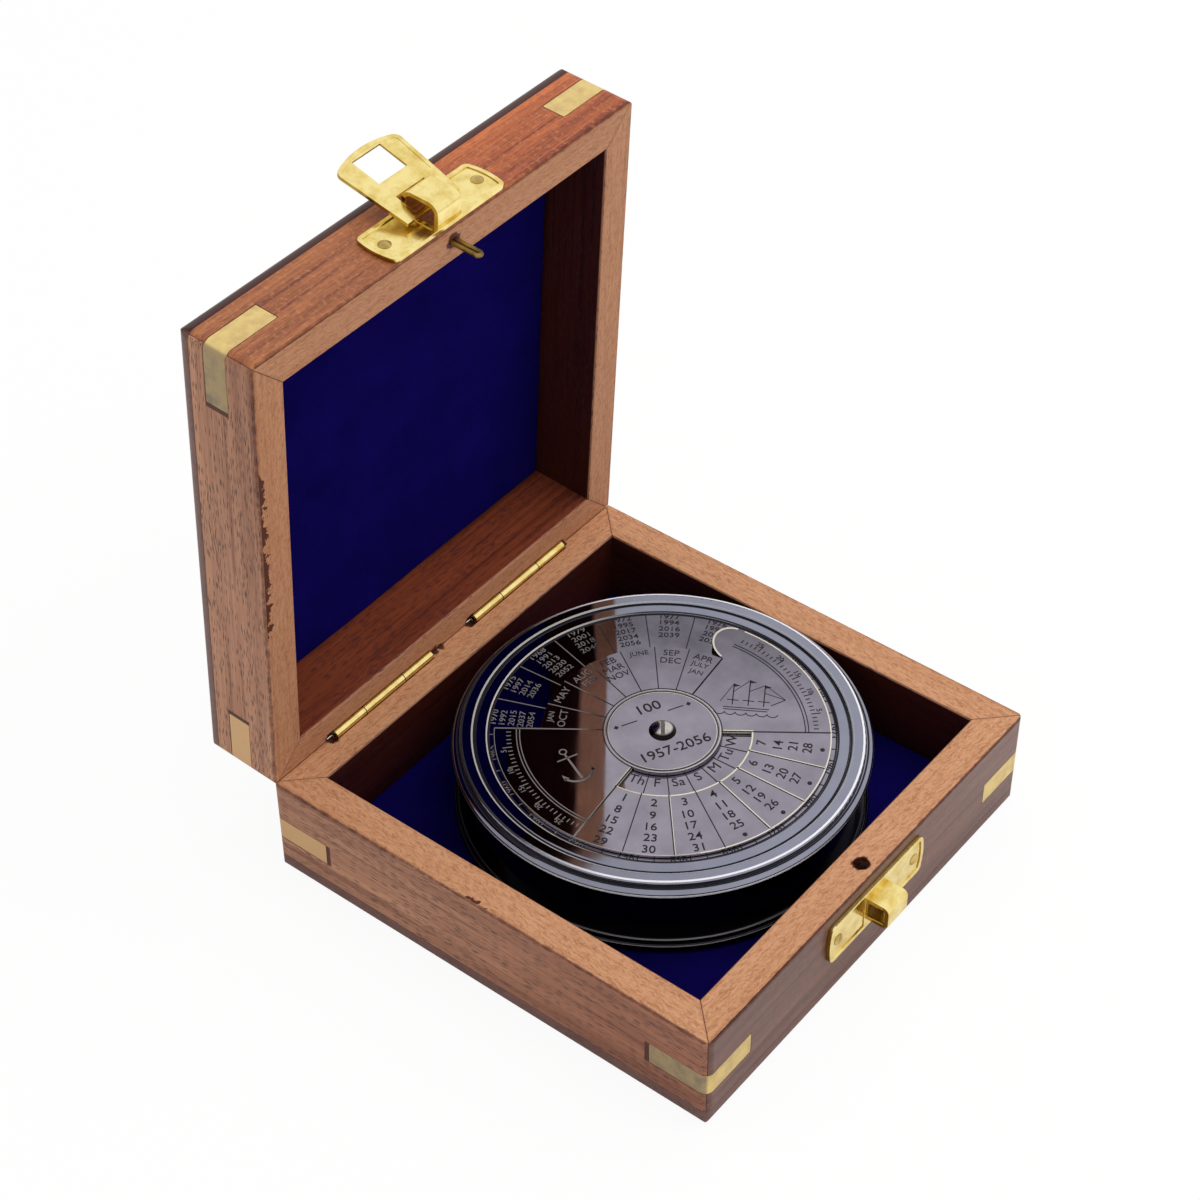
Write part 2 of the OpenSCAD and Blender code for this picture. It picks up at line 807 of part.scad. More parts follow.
module centre_screw() {
  head_z = month_z + disc_t + fit_gap;
  end_z = seat_z + plate_under - washer_t - nut_h;
  color("gray") at_compass(0) {
    translate([0, 0, end_z]) cylinder(d = screw_d, h = head_z - end_z);
    translate([0, 0, head_z]) difference() {
      dome(screw_head_d, screw_head_h);
      rotate(slot_angle) translate([-screw_head_d, -screw_slot / 2, screw_head_h / 2])
        cube([2 * screw_head_d, screw_slot, screw_head_h]);
    }
  }
}

module screw_washer() {
  color("gray") at_compass(seat_z + plate_under - washer_t) difference() {
    cylinder(d = washer_d, h = washer_t);
    translate([0, 0, -cut]) cylinder(d = screw_d + 2 * glue_gap, h = washer_t + 2 * cut);
  }
}

module screw_nut() {
  color("gray") at_compass(seat_z + plate_under - washer_t - nut_h) difference() {
    cylinder(d = nut_d, h = nut_h, $fn = 6);
    translate([0, 0, -cut]) cylinder(d = screw_d + 2 * glue_gap, h = nut_h + 2 * cut);
  }
}

module month_disc() {
  color(gunmetal) at_compass(month_z) month_sheet();
}

base_front_wall();
base_back_wall();
base_left_wall();
base_right_wall();
base_panel();
base_corner_keys();
base_lining();
base_hinge_leaves();
hinge_pins();
keeper_plate();
keeper_nails();
lid_front_wall();
lid_back_wall();
lid_left_wall();
lid_right_wall();
lid_panel();
lid_corner_keys();
lid_lining();
lid_hinge_leaves();
latch_plate();
latch_nails();
locating_pin();
latch_flap();
compass_case();
needle_pivot();
compass_card();
glass();
glass_ring();
compass_needle();
needle_cap();
calendar_cover();
year_disc();
centre_screw();
screw_washer();
screw_nut();
month_disc();
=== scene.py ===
# %% [markdown]
# # A calendar compass in its wooden box
#
# The object is a desk piece: a turned metal compass whose push-on cover is a perpetual calendar. It lies in
# a hinged hardwood box with brass fittings and a blue velvet lining. All rigid pieces come from the packed
# frame at their true place and size. This lesson gives them eased edges and finishes, lays the velvet, and
# engraves the dials.

# %% Load the frame
import math

import bmesh
import bpy
from mathutils import Matrix, Vector, noise


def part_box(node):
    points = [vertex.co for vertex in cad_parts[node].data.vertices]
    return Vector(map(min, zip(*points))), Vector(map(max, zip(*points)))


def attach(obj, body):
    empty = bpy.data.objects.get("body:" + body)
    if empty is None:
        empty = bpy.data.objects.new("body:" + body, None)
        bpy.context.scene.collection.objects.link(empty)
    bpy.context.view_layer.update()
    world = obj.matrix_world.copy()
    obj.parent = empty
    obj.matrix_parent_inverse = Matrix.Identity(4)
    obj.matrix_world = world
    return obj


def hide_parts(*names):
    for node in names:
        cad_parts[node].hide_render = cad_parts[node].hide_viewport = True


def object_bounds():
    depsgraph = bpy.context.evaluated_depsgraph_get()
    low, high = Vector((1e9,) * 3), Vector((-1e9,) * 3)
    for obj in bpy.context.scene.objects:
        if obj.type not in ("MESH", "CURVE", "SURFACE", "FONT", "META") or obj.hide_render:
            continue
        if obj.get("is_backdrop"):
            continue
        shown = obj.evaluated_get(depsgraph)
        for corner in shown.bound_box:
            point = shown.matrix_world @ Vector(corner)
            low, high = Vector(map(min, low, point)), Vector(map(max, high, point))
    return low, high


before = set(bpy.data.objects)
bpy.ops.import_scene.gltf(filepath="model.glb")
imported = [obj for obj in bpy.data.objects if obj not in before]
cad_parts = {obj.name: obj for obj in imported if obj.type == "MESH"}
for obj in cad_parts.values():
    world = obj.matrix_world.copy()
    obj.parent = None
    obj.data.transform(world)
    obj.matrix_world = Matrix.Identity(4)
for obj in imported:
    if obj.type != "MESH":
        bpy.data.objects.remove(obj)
cad_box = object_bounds()
scene = bpy.context.scene
scene.view_settings.view_transform = "Standard"
MM = 0.001

# %% [markdown]
# ## Camera
#
# The photograph looks down on one corner of the box. Its straight edges were solved for the camera's place
# and focal length, so a plain perspective camera with those values lines up with it, without any shift.

# %% Place the camera
FRAME_PX = 1200
FOCAL_PX = 2839.3
CAMERA_AT = (-0.2972, -0.22116, 0.40065)
CAMERA_TURN = (0.8272, 0.0024, -0.9072)
camera = bpy.data.objects.new("camera", bpy.data.cameras.new("camera"))
camera.data.sensor_width = 36
camera.data.lens = FOCAL_PX * camera.data.sensor_width / FRAME_PX
camera.data.clip_start = 0.01
camera.location = CAMERA_AT
camera.rotation_euler = CAMERA_TURN
scene.collection.objects.link(camera)
scene.camera = camera
print("lens", round(camera.data.lens, 2), "mm")

# %% [markdown]
# ## Node helper and colours
#
# A shader is a small graph. One helper adds a node, sets its options and fills its sockets with values or
# with other nodes' outputs, so each finish below reads from top to bottom. Colours are written as screen
# hex values, and the helper turns them into the linear numbers that the renderer works with.

# %% Helpers for finishes
def linear(code):
    """An sRGB hex colour as linear red, green, blue and alpha."""
    parts = [int(code[i:i + 2], 16) / 255 for i in (1, 3, 5)]
    return [((c + 0.055) / 1.055) ** 2.4 if c > 0.04045 else c / 12.92 for c in parts] + [1]


def add(tree, kind, sockets, operation=None, **options):
    """Adds a node to a tree; a kind that names no family of nodes is a shader node.

    sockets lists what its inputs get, in their order or by name: values, hex colours, outputs of other nodes,
    or nodes, which stand for their first output in use.
    """
    node = tree.nodes.new(kind if "Node" in kind else "ShaderNode" + kind)
    if operation:
        node.operation = operation
    for name, value in options.items():
        setattr(node, name, value)
    in_use = {socket.name: socket for socket in reversed(node.inputs) if socket.enabled}
    for name, value in sockets.items() if isinstance(sockets, dict) else enumerate(sockets):
        socket = in_use[name] if isinstance(name, str) else node.inputs[name]
        if isinstance(value, bpy.types.Node):
            value = next(output for output in value.outputs if output.enabled)
        if isinstance(value, str) and value.startswith("#"):
            value = linear(value)
        if isinstance(value, bpy.types.NodeSocket):
            tree.links.new(value, socket)
        else:
            socket.default_value = value
    return node


def new_finish(name):
    """A material with an empty node tree."""
    finish = bpy.data.materials.new(name)
    finish.use_nodes = True
    finish.node_tree.nodes.clear()
    return finish, finish.node_tree


PER_MM = (1 / MM, 1 / MM, 1 / MM)


def in_mm(tree, origin=Vector()):
    """Each point of a surface in millimetres from an origin."""
    at = add(tree, "TexCoord", {})
    return add(tree, "Mapping", {"Vector": at.outputs["Object"], "Location": -origin / MM, "Scale": PER_MM})


print("mid grey is", [round(c, 3) for c in linear("#808080")[:3]])

# %% [markdown]
# ## Studio
#
# The piece stands in a white light tent: light comes evenly from all round, with a little more from above.
# The world does the even part and one large soft lamp behind the tent's cloth the rest. What the camera and
# the polished metal see of the tent is plain white without the lamp, and the floor is a pale sheet that
# keeps the object's soft shadow.

# %% Light of the tent
EVEN_LIGHT = 0.75
tent = bpy.data.worlds.new("tent")
tent.use_nodes = True
tree = tent.node_tree
tree.nodes.clear()
rays = add(tree, "LightPath", {})
seen = rays.outputs["Is Camera Ray"]
for kind in ("Is Glossy Ray", "Is Transmission Ray"):
    seen = add(tree, "Math", [seen, rays.outputs[kind]], "MAXIMUM")
level = add(tree, "MapRange", {"Value": seen, "To Min": EVEN_LIGHT, "To Max": 1})
glow = add(tree, "Background", {"Color": (1, 1, 1, 1), "Strength": level})
add(tree, "OutputWorld", {"Surface": glow})
scene.world = tent
print("tent lit to", EVEN_LIGHT)

# %% Soft box and floor
LAMP_AT = Vector((0.28, -0.2, 0.62))
LAMP_AIM = Vector((0, 0, 0.04))
FLOOR_HALF = 3
PAPER_GLOW = 0.93
lamp = bpy.data.objects.new("soft_box", bpy.data.lights.new("soft_box", "AREA"))
lamp.data.shape = "DISK"
lamp.data.size = 0.8
lamp.data.energy = 2.8
lamp.location = LAMP_AT
lamp.rotation_euler = (LAMP_AIM - LAMP_AT).to_track_quat("-Z", "Y").to_euler()
lamp.visible_glossy = False
scene.collection.objects.link(lamp)

floor_paper, tree = new_finish("floor_paper")
rays = add(tree, "LightPath", {})
paper = add(tree, "BsdfDiffuse", {"Color": "#F4F3F1"})
white = add(tree, "Emission", {"Color": (1, 1, 1, 1), "Strength": 1})
share = add(tree, "Math", [rays.outputs["Is Camera Ray"], PAPER_GLOW], "MULTIPLY")
mixed = add(tree, "MixShader", [share, paper, white])
add(tree, "OutputMaterial", {"Surface": mixed})


def make_piece(name, bm, finish):
    """Turns a bmesh into an object with a finish."""
    piece = bpy.data.objects.new(name, bpy.data.meshes.new(name))
    bm.to_mesh(piece.data)
    bm.free()
    piece.data.materials.append(finish)
    scene.collection.objects.link(piece)
    return piece


bm = bmesh.new()
bmesh.ops.create_grid(bm, x_segments=1, y_segments=1, size=FLOOR_HALF)
floor = make_piece("floor", bm, floor_paper)
floor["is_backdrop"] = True
print("soft box", round(lamp.data.size, 2), "m wide, and a floor")

# %% [markdown]
# ## Eased edges
#
# Sanded wood and polished metal have no razor edges: a fine rounding catches a thin line of light. The
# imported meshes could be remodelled, but a short modifier stack does it without touching them: join the
# loose triangles, dissolve the flat ones, mark the outward edges, bevel those, then shade smooth with
# normals weighted by face area so flats stay flat. Inner corners stay crisp, as a tool leaves them. The
# angle of what counts as flat is kept below that between the facets of a turned wall, so round pieces stay
# evenly divided and their highlights unbroken.

# %% Mark outward edges, shade smooth
SHARP = math.radians(40)
FLAT = math.radians(0.2)


def geometry_group(name):
    """An empty geometry tree with its arriving geometry."""
    group = bpy.data.node_groups.new(name, "GeometryNodeTree")
    for direction in ("INPUT", "OUTPUT"):
        group.interface.new_socket("Geometry", in_out=direction, socket_type="NodeSocketGeometry")
    return group, add(group, "NodeGroupInput", {})


outward, arriving = geometry_group("mark_outward_edges")
bend = add(outward, "GeometryNodeInputMeshEdgeAngle", {})
sharp = add(outward, "Math", [bend.outputs["Signed Angle"], SHARP], "GREATER_THAN")
marked = add(outward, "GeometryNodeStoreNamedAttribute", {"Geometry": arriving, "Name": "bevel_weight_edge",
             "Value": sharp}, data_type="FLOAT", domain="EDGE")
add(outward, "NodeGroupOutput", [marked])
rounded, arriving = geometry_group("shade_smooth")
smooth = add(rounded, "GeometryNodeSetShadeSmooth", {"Geometry": arriving})
bend = add(rounded, "GeometryNodeInputMeshEdgeAngle", {})
inner = add(rounded, "FunctionNodeCompare", [bend.outputs["Unsigned Angle"], SHARP], "GREATER_THAN")
crisp = add(rounded, "GeometryNodeSetShadeSmooth", {"Geometry": smooth, "Selection": inner,
            "Shade Smooth": False}, domain="EDGE")
add(rounded, "NodeGroupOutput", [crisp])
print("edges over", round(math.degrees(SHARP)), "degrees count as sharp")

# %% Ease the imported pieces
WOOD_EASE = 0.12
SMALL_EASE = 0.06
EASE = {"calendar_cover": 0.38, "latch_plate": 0.12, "keeper_plate": 0.12, "latch_flap": 0.12}
NOT_EASED = ("base_lining", "lid_lining", "glass")
for node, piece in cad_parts.items():
    if node in NOT_EASED:
        continue
    wooden = node.endswith(("_wall", "_panel"))
    width = EASE.get(node, WOOD_EASE if wooden else SMALL_EASE) * MM
    for name, kind, settings in (
        ("weld", "WELD", {"merge_threshold": 1e-6}),
        ("flat", "DECIMATE", {"decimate_type": "DISSOLVE", "angle_limit": FLAT}),
        ("outward", "NODES", {"node_group": outward}),
        ("ease", "BEVEL", {"width": width, "segments": 3, "limit_method": "WEIGHT",
                           "use_clamp_overlap": False}),
        ("smooth", "NODES", {"node_group": rounded}),
        ("normals", "WEIGHTED_NORMAL", {"weight": 90, "keep_sharp": True}),
    ):
        modifier = piece.modifiers.new(name, kind)
        for setting, value in settings.items():
            setattr(modifier, setting, value)
print("eased", len(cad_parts) - len(NOT_EASED), "pieces")

# %% [markdown]
# ## Sheesham walls
#
# The box is Indian rosewood, sawn and mitred. Its outer faces are sanded and varnished: reddish brown with
# fine dark pores, short dashes along each wall. The sawn rims stay paler, and the inside is stained dark,
# with
# painted shade: darker on the walls that lie in shade and lighter on the lid's upturned inner wall.
# Each wall was cut from a board with the grain along its length, so the pattern is turned with the wall:
# its grain runs along x, its outer face looks to -y and its rim is at z = 0. The lid is laid open flat
# beside the base for that.

# %% Turn each wall to its board
BOX_W = 100
RIM_Z = 22.6
LID_OPEN = 86.84
HINGE = Vector((0, 48.95, 22.7))
lid_middle = 2 * HINGE.y
flat_lid = Matrix.Translation(HINGE) @ Matrix.Rotation(math.radians(LID_OPEN - 180), 4, "X")
flat_lid = Matrix.Translation((0, -lid_middle, -RIM_Z)) @ flat_lid @ Matrix.Translation(-HINGE)
flat_base = Matrix.Translation((0, 0, -RIM_Z))
TURN = {
    "base_front_wall": 0, "base_left_wall": 90, "base_back_wall": 180, "base_right_wall": -90,
    "lid_front_wall": 180, "lid_left_wall": 90, "lid_back_wall": 0, "lid_right_wall": -90,
}
board = {}
for node, angle in TURN.items():
    lie = flat_lid if node.startswith("lid") else flat_base
    board[node] = Matrix.Rotation(math.radians(angle), 4, "Z") @ lie
board["base_panel"] = flat_base
board["lid_panel"] = flat_lid
lo, hi = (board["lid_front_wall"] @ (corner / MM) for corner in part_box("lid_front_wall"))
print("lid front wall lies at z", round(lo.z, 2), "to", round(hi.z, 2))

# %% [markdown]
# ### Grain
#
# Layers make the grain: broad bands of lighter and darker heartwood, long dark lines, fine fibre, and
# pores. A pore is a vessel cut lengthwise, a dark dash about 1.5 mm long and 0.2 mm wide. Stretched cells
# give such dashes, and each cell's own random number decides whether its dash is there, so they gather in
# places, as vessels do. On the sawn rims the fibre was cut across its line, so there it shows as fine
# strokes that lean and wander. All of it could be one image, but patterns in space run on round every edge,
# as in real wood.

# %% Grain of a board
# Repeats to the millimetre along, across and through a board, and the settings of each layer's noise
LAYERS = {
    "band": ((0.007, 0.10, 0.19), {"Detail": 4, "Distortion": 0.5}),
    "fibre": ((0.07, 1.9, 1.9), {"Detail": 5, "Roughness": 0.7}),
    "streak": ((0.014, 0.8, 0.8), {"Detail": 2, "Roughness": 0.4}),
    "crowd": ((0.05, 0.16, 0.16), {"Detail": 3}),
}
PORE = (0.42, 4.2, 4.2)
STROKE = (0.55, 2.6, 2.6)
# Lean of the rim's strokes, and by how many millimetres they wander
RIM_LEAN = math.radians(9)
WANDER = 1.6


def grain(tree, spot, on_rim):
    """Heartwood bands, fibre, and pores or rim strokes of a board in millimetres, each from 0 to 1."""
    wave = add(tree, "TexNoise", {"Vector": spot, "Scale": 0.5, "Detail": 2})
    drift = add(tree, "VectorMath", [wave.outputs["Color"], (0, WANDER, WANDER)], "MULTIPLY")
    layer = {}
    for name, (repeats, settings) in LAYERS.items():
        drawn = add(tree, "VectorMath", [spot, repeats], "MULTIPLY")
        layer[name] = add(tree, "TexNoise", {"Vector": drawn, "Scale": 1, **settings})
    line = add(tree, "MapRange", {"Value": layer["streak"], "From Min": 0.57, "From Max": 0.66,
               "To Max": 0.25})
    mixed = add(tree, "Math", [layer["band"], layer["fibre"]], "ADD")
    tone = add(tree, "Math", [mixed, line], "ADD")
    shade = add(tree, "MapRange", {"Value": tone, "From Min": 0.8, "From Max": 1.25})

    dash = add(tree, "VectorMath", [spot, PORE], "MULTIPLY")
    cell = add(tree, "TexVoronoi", {"Vector": dash, "Scale": 1})
    chance = add(tree, "SeparateColor", [cell.outputs["Color"]])
    share = add(tree, "MapRange", {"Value": layer["crowd"], "From Min": 0.36, "From Max": 0.64,
                "To Min": 0.2, "To Max": 1})
    there = add(tree, "Math", [chance, share], "LESS_THAN")
    body = add(tree, "MapRange", {"Value": cell.outputs["Distance"], "From Min": 0.45, "From Max": 0.28})
    pores = add(tree, "Math", [body, there], "MULTIPLY")

    lean = add(tree, "Mapping", {"Vector": spot, "Rotation": (0, 0, RIM_LEAN)})
    bent = add(tree, "VectorMath", [lean, drift], "ADD")
    drawn = add(tree, "VectorMath", [bent, STROKE], "MULTIPLY")
    sawn = add(tree, "TexNoise", {"Vector": drawn, "Scale": 1, "Detail": 4, "Roughness": 0.65})
    strokes = add(tree, "MapRange", {"Value": sawn, "From Min": 0.45, "From Max": 0.68})
    vessel = add(tree, "Mix", {"Factor": on_rim, "A": pores, "B": strokes}, data_type="FLOAT")
    return shade, layer["fibre"], vessel


print("pores every", [round(1 / step, 2) for step in PORE], "mm")

# %% [markdown]
# ### Marks of use and making
#
# Other marks sit at known places on a wall, so they come from the same coordinates and not from noise
# alone: a dark line where varnish gathered along edges and mitres, chips along the rim's outer edge, dark
# filler behind the corner keys, and painted shade in the mouths of the pin's hole and of the hinges' open
# ends. Each is one test of distance, and the largest of them wins.

# %% Marks at known places
KEY_LEG = 12.6
KEY_HALF = 2.4
KEY_DEPTH = {"base": 11.4, "lid": 8.3}
# How uneven, in millimetres, and how soft each kind of mark ends
EDGE_WOBBLE = 1.2
GLUE_EDGE = 0.12
CHIP_RAG = 7
CHIP_LEVEL = -3.5
CHIP_EDGE = 0.15
CHIP_FADE = 2
NO_CHIP = -4
MOUTH_WOBBLE = 2.5
MOUTH_EDGE = 0.3
# A mouth reaches twice as far down as round
MOUTH_DROP = (1, 1, 0.5)
PIN_HOLE = [(0, -46.9, 1.5)]
HINGE_ENDS = {-34.8: 1.3, 5.6: 1.3, -5.3: 0.9, -3.4: 0.6, 34.4: 0.9}
HOLES = {
    "base_front_wall": PIN_HOLE, "lid_front_wall": PIN_HOLE,
    "lid_back_wall": [(x, -HINGE.y, radius) for x, radius in HINGE_ENDS.items()],
    "base_back_wall": [(-x, -HINGE.y, radius) for x, radius in HINGE_ENDS.items()],
}


def wall_marks(tree, spot, key_depth, filler, worn, chip_w, outer, on_rim, holes):
    """How dark a wall is marked, from 0 to 1.

    The marks are edges, mitres, chips between worn's two places, filler behind the keys, and painted shade in
    the mouths of holes.
    """
    place = add(tree, "SeparateXYZ", [spot])
    rough = add(tree, "TexNoise", {"Vector": spot, "Scale": 0.5, "Detail": 4, "Roughness": 0.65})
    wobble = add(tree, "Math", [rough, 0.5], "SUBTRACT")
    length = add(tree, "Math", [place.outputs["X"]], "ABSOLUTE")
    deep = add(tree, "Math", [place.outputs["Y"], BOX_W / 2], "ADD")
    from_edge = add(tree, "Math", [deep, place.outputs["Z"]], "SUBTRACT")
    uneven = add(tree, "Math", [wobble, EDGE_WOBBLE, from_edge], "MULTIPLY_ADD")
    edge = add(tree, "MapRange", {"Value": uneven, "From Min": 0.6, "From Max": 0.3, "To Max": 0.6})
    to_end = add(tree, "Math", [BOX_W / 2, length], "SUBTRACT")
    to_mitre = add(tree, "Math", [to_end, deep], "SUBTRACT")
    mitre = add(tree, "MapRange", {"Value": to_mitre, "From Min": 0.25, "From Max": 0.1, "To Max": 0.38})
    near_end = add(tree, "MapRange", {"Value": to_end, "From Min": 0.5, "From Max": 0.2, "To Max": 0.6})
    corner = add(tree, "Math", [near_end, outer], "MULTIPLY")

    middle = add(tree, "Math", [place.outputs["X"], sum(worn) / 2], "SUBTRACT")
    away = add(tree, "Math", [middle], "ABSOLUTE")
    half = (worn[1] - worn[0]) / 2
    width = add(tree, "MapRange", {"Value": away, "From Min": half, "From Max": half + CHIP_FADE,
                "To Min": chip_w, "To Max": NO_CHIP})
    blot = add(tree, "TexNoise", {"Vector": spot, "Scale": 0.6, "Detail": 2, "Roughness": 0.6})
    ragged = add(tree, "Math", [blot, CHIP_RAG, deep], "MULTIPLY_ADD")
    bite = add(tree, "Math", [width, ragged], "SUBTRACT")
    torn_off = add(tree, "MapRange", {"Value": bite, "From Min": CHIP_LEVEL,
                   "From Max": CHIP_LEVEL + CHIP_EDGE})
    chip = add(tree, "Math", [torn_off, on_rim], "MULTIPLY")

    past = add(tree, "Math", [to_end, KEY_LEG + filler], "SUBTRACT")
    height = add(tree, "Math", [place.outputs["Z"], key_depth], "ADD")
    apart = add(tree, "Math", [height], "ABSOLUTE")
    over = add(tree, "Math", [apart, KEY_HALF + GLUE_EDGE], "SUBTRACT")
    reach = add(tree, "Math", [past, over], "MAXIMUM")
    behind = add(tree, "MapRange", {"Value": reach, "From Min": GLUE_EDGE, "From Max": 0})
    glue = add(tree, "Math", [behind, outer], "MULTIPLY")

    most = edge
    for mark in (mitre, corner, chip, glue):
        most = add(tree, "Math", [most, mark], "MAXIMUM")
    # Painted shade in the mouths of the pin's hole and of the hinges' open ends
    for x, y, radius in holes:
        offset = add(tree, "VectorMath", [spot, (x, y, 0)], "SUBTRACT")
        drop = add(tree, "VectorMath", [offset, MOUTH_DROP], "MULTIPLY")
        centre = add(tree, "VectorMath", [drop], "LENGTH")
        torn = add(tree, "Math", [wobble, MOUTH_WOBBLE, centre], "MULTIPLY_ADD")
        mouth = add(tree, "MapRange", {"Value": torn, "From Min": radius + MOUTH_EDGE, "From Max": radius})
        most = add(tree, "Math", [most, mouth], "MAXIMUM")
    return most


print("keys reach", KEY_LEG, "mm along the walls")

# %% [markdown]
# ### The finish
#
# The surfaces are told apart by the way they face: up is the sawn rim, towards +y the stained inside, the
# rest is varnished. Each board has its own colours, since no two are alike: the front of the base is smooth
# and greyish mauve, partly its own tone and partly a painted sheen of the tent, the front of the lid red and
# full of light flecks, and the left walls brown with many pores.

# %% Sheesham finish
DARK_MARK = "#471C13"
PORE_DARK = "#3C2326"
STROKE_DARK = "#8F5233"
FLECK = "#BE8052"
MARK_DEPTH = 0.95


def sheesham(name, lie, light, dark, pore, fleck, gloss, rim, stain, key_depth, filler, worn, chip_w, holes,
             deep):
    """Varnished outside, sawn rim and stained inside.

    pore and fleck are the strengths of dashes and flecks. Between deep's two places along the board the skin
    takes on its tint. A board without a key depth, a panel, has no marks.
    """
    finish, tree = new_finish(name)
    turn = lie.to_euler()
    at = add(tree, "TexCoord", {})
    spot = add(tree, "Mapping", {"Vector": at.outputs["Object"], "Location": lie.to_translation(),
               "Rotation": turn, "Scale": PER_MM})
    face = add(tree, "Mapping", {"Vector": at.outputs["Normal"], "Rotation": turn}, vector_type="VECTOR")
    side = add(tree, "SeparateXYZ", [face])
    on_rim = add(tree, "MapRange", {"Value": side.outputs["Z"], "From Min": 0.75, "From Max": 0.95})
    inside = add(tree, "MapRange", {"Value": side.outputs["Y"], "From Min": 0.6, "From Max": 0.9})
    outside = add(tree, "MapRange", {"Value": side.outputs["Y"], "From Min": -0.6, "From Max": -0.9})
    shade, fibre, pores = grain(tree, spot, on_rim)

    skin, sawn, red = (add(tree, "Mix", {"Factor": shade, "A": a, "B": b}, data_type="RGBA")
                       for a, b in ((light, dark), rim, stain))
    start, end, tint = deep
    place = add(tree, "SeparateXYZ", [spot])
    ripe = add(tree, "MapRange", {"Value": place.outputs["X"], "From Min": start, "From Max": end})
    skin = add(tree, "Mix", {"Factor": ripe, "A": skin, "B": tint}, data_type="RGBA", blend_type="MULTIPLY")
    spark = add(tree, "TexNoise", {"Vector": spot, "Scale": 1.1, "Detail": 3, "Roughness": 0.6})
    flecks = add(tree, "MapRange", {"Value": spark, "From Min": 0.52, "From Max": 0.68, "To Max": fleck})
    skin = add(tree, "Mix", {"Factor": flecks, "A": skin, "B": FLECK}, data_type="RGBA")
    colour = add(tree, "Mix", {"Factor": on_rim, "A": skin, "B": sawn}, data_type="RGBA")
    colour = add(tree, "Mix", {"Factor": inside, "A": colour, "B": red}, data_type="RGBA")
    depth = add(tree, "MapRange", {"Value": on_rim, "To Min": pore, "To Max": 0.7})
    dash = add(tree, "Math", [pores, depth], "MULTIPLY")
    vessel = add(tree, "Mix", {"Factor": on_rim, "A": PORE_DARK, "B": STROKE_DARK}, data_type="RGBA")
    colour = add(tree, "Mix", {"Factor": dash, "A": colour, "B": vessel}, data_type="RGBA")
    if key_depth:
        marks = wall_marks(tree, spot, key_depth, filler, worn, chip_w, outside, on_rim, holes)
        # Real marks and the painted shade of the holes' mouths darken the colour together
        stained = add(tree, "Math", [marks, MARK_DEPTH], "MULTIPLY")
        colour = add(tree, "Mix", {"Factor": stained, "A": colour, "B": DARK_MARK}, data_type="RGBA")

    smooth = add(tree, "MapRange", {"Value": on_rim, "To Min": gloss, "To Max": 0.65})
    relief = add(tree, "Math", [fibre, dash], "SUBTRACT")
    bump = add(tree, "Bump", {"Height": relief, "Strength": 0.3, "Distance": 0.05 * MM})
    wood = add(tree, "BsdfPrincipled", {"Base Color": colour, "Roughness": smooth,
               "Normal": bump, "Specular IOR Level": 0.25})
    add(tree, "OutputMaterial", {"Surface": wood})
    return finish


def dress(node, finish):
    """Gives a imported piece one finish."""
    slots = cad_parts[node].data.materials
    slots.clear()
    slots.append(finish)


print("finish for boards, with", len(HOLES), "of them pierced or cut")

# %% Dress the boards
RIM_TONE = {"base": ("#CE9A74", "#BC8660"), "lid": ("#BB8866", "#A97554")}
# One stain in two copies: darker as painted shade inside the box, lighter as painted light on the lit wall
SHADED_STAIN = ("#43190F", "#2A0D08")
LIT_STAIN = ("#874228", "#5F2A1A")
BEYOND = (70, 71)
BROWN = dict(light="#BC8869", dark="#8C5D47", pore=0.8, fleck=0.12, gloss=0.42, filler=0.9)
# The base front's greyish mauve is partly its own tone and partly a painted sheen
GREY_AND_SHEEN = dict(light="#7A544A", dark="#5A3932", pore=0.4, fleck=0.1, gloss=0.32, filler=0.1)
RED = dict(light="#AC6A42", dark="#713B2B", pore=0.4, fleck=0.6, gloss=0.4, filler=0.1)
SKIN = {"base_front_wall": GREY_AND_SHEEN, "lid_front_wall": RED}
WORN = {"lid_left_wall": (-27, 12), "base_left_wall": (-4, 1)}
EVEN = (*BEYOND, (1, 1, 1, 1))
DEEP = {"base_left_wall": (-20, 30, (0.72, 0.6, 0.58, 1)), "lid_front_wall": (10, -15, (1.3, 1, 0.8, 1))}
CHIP_W = {"lid_left_wall": 1.3, "base_left_wall": 0.3}
for node in TURN:
    part = node.split("_")[0]
    stain = LIT_STAIN if node == "lid_back_wall" else SHADED_STAIN
    dress(node, sheesham("sheesham_" + node, board[node], rim=RIM_TONE[part], stain=stain,
          key_depth=KEY_DEPTH[part], worn=WORN.get(node, BEYOND), chip_w=CHIP_W.get(node, 0),
          holes=HOLES.get(node, []), deep=DEEP.get(node, EVEN), **SKIN.get(node, BROWN)))
PANEL = dict(light="#76534B", dark="#61433E", pore=0.35, fleck=0.03, gloss=0.4, filler=0)
for node in ("base_panel", "lid_panel"):
    dress(node, sheesham("sheesham_" + node, board[node], rim=(PANEL["light"], PANEL["dark"]),
          stain=SHADED_STAIN, key_depth=None, worn=BEYOND, chip_w=0, holes=[], deep=EVEN, **PANEL))
print("ten boards of sheesham")

# %% [markdown]
# ## Brass
#
# Latch, keeper, flap, nails and hinges are stamped from sheet brass and tumble polished: a warm yellow
# mirror with fine random scratches and a slightly uneven lacquer. The corner keys are the same metal, filed
# flush with the wood, so they are satin. On the left faces they are tarnished grey and brown and painted
# darker as painted shade, and painted brighter near the hinge; the way a face looks tells the two apart.

# %% Polished and filed brass
LEFT = (-1, 0, 0)
FAR_OFF = 75
NEAR_HINGE = 60


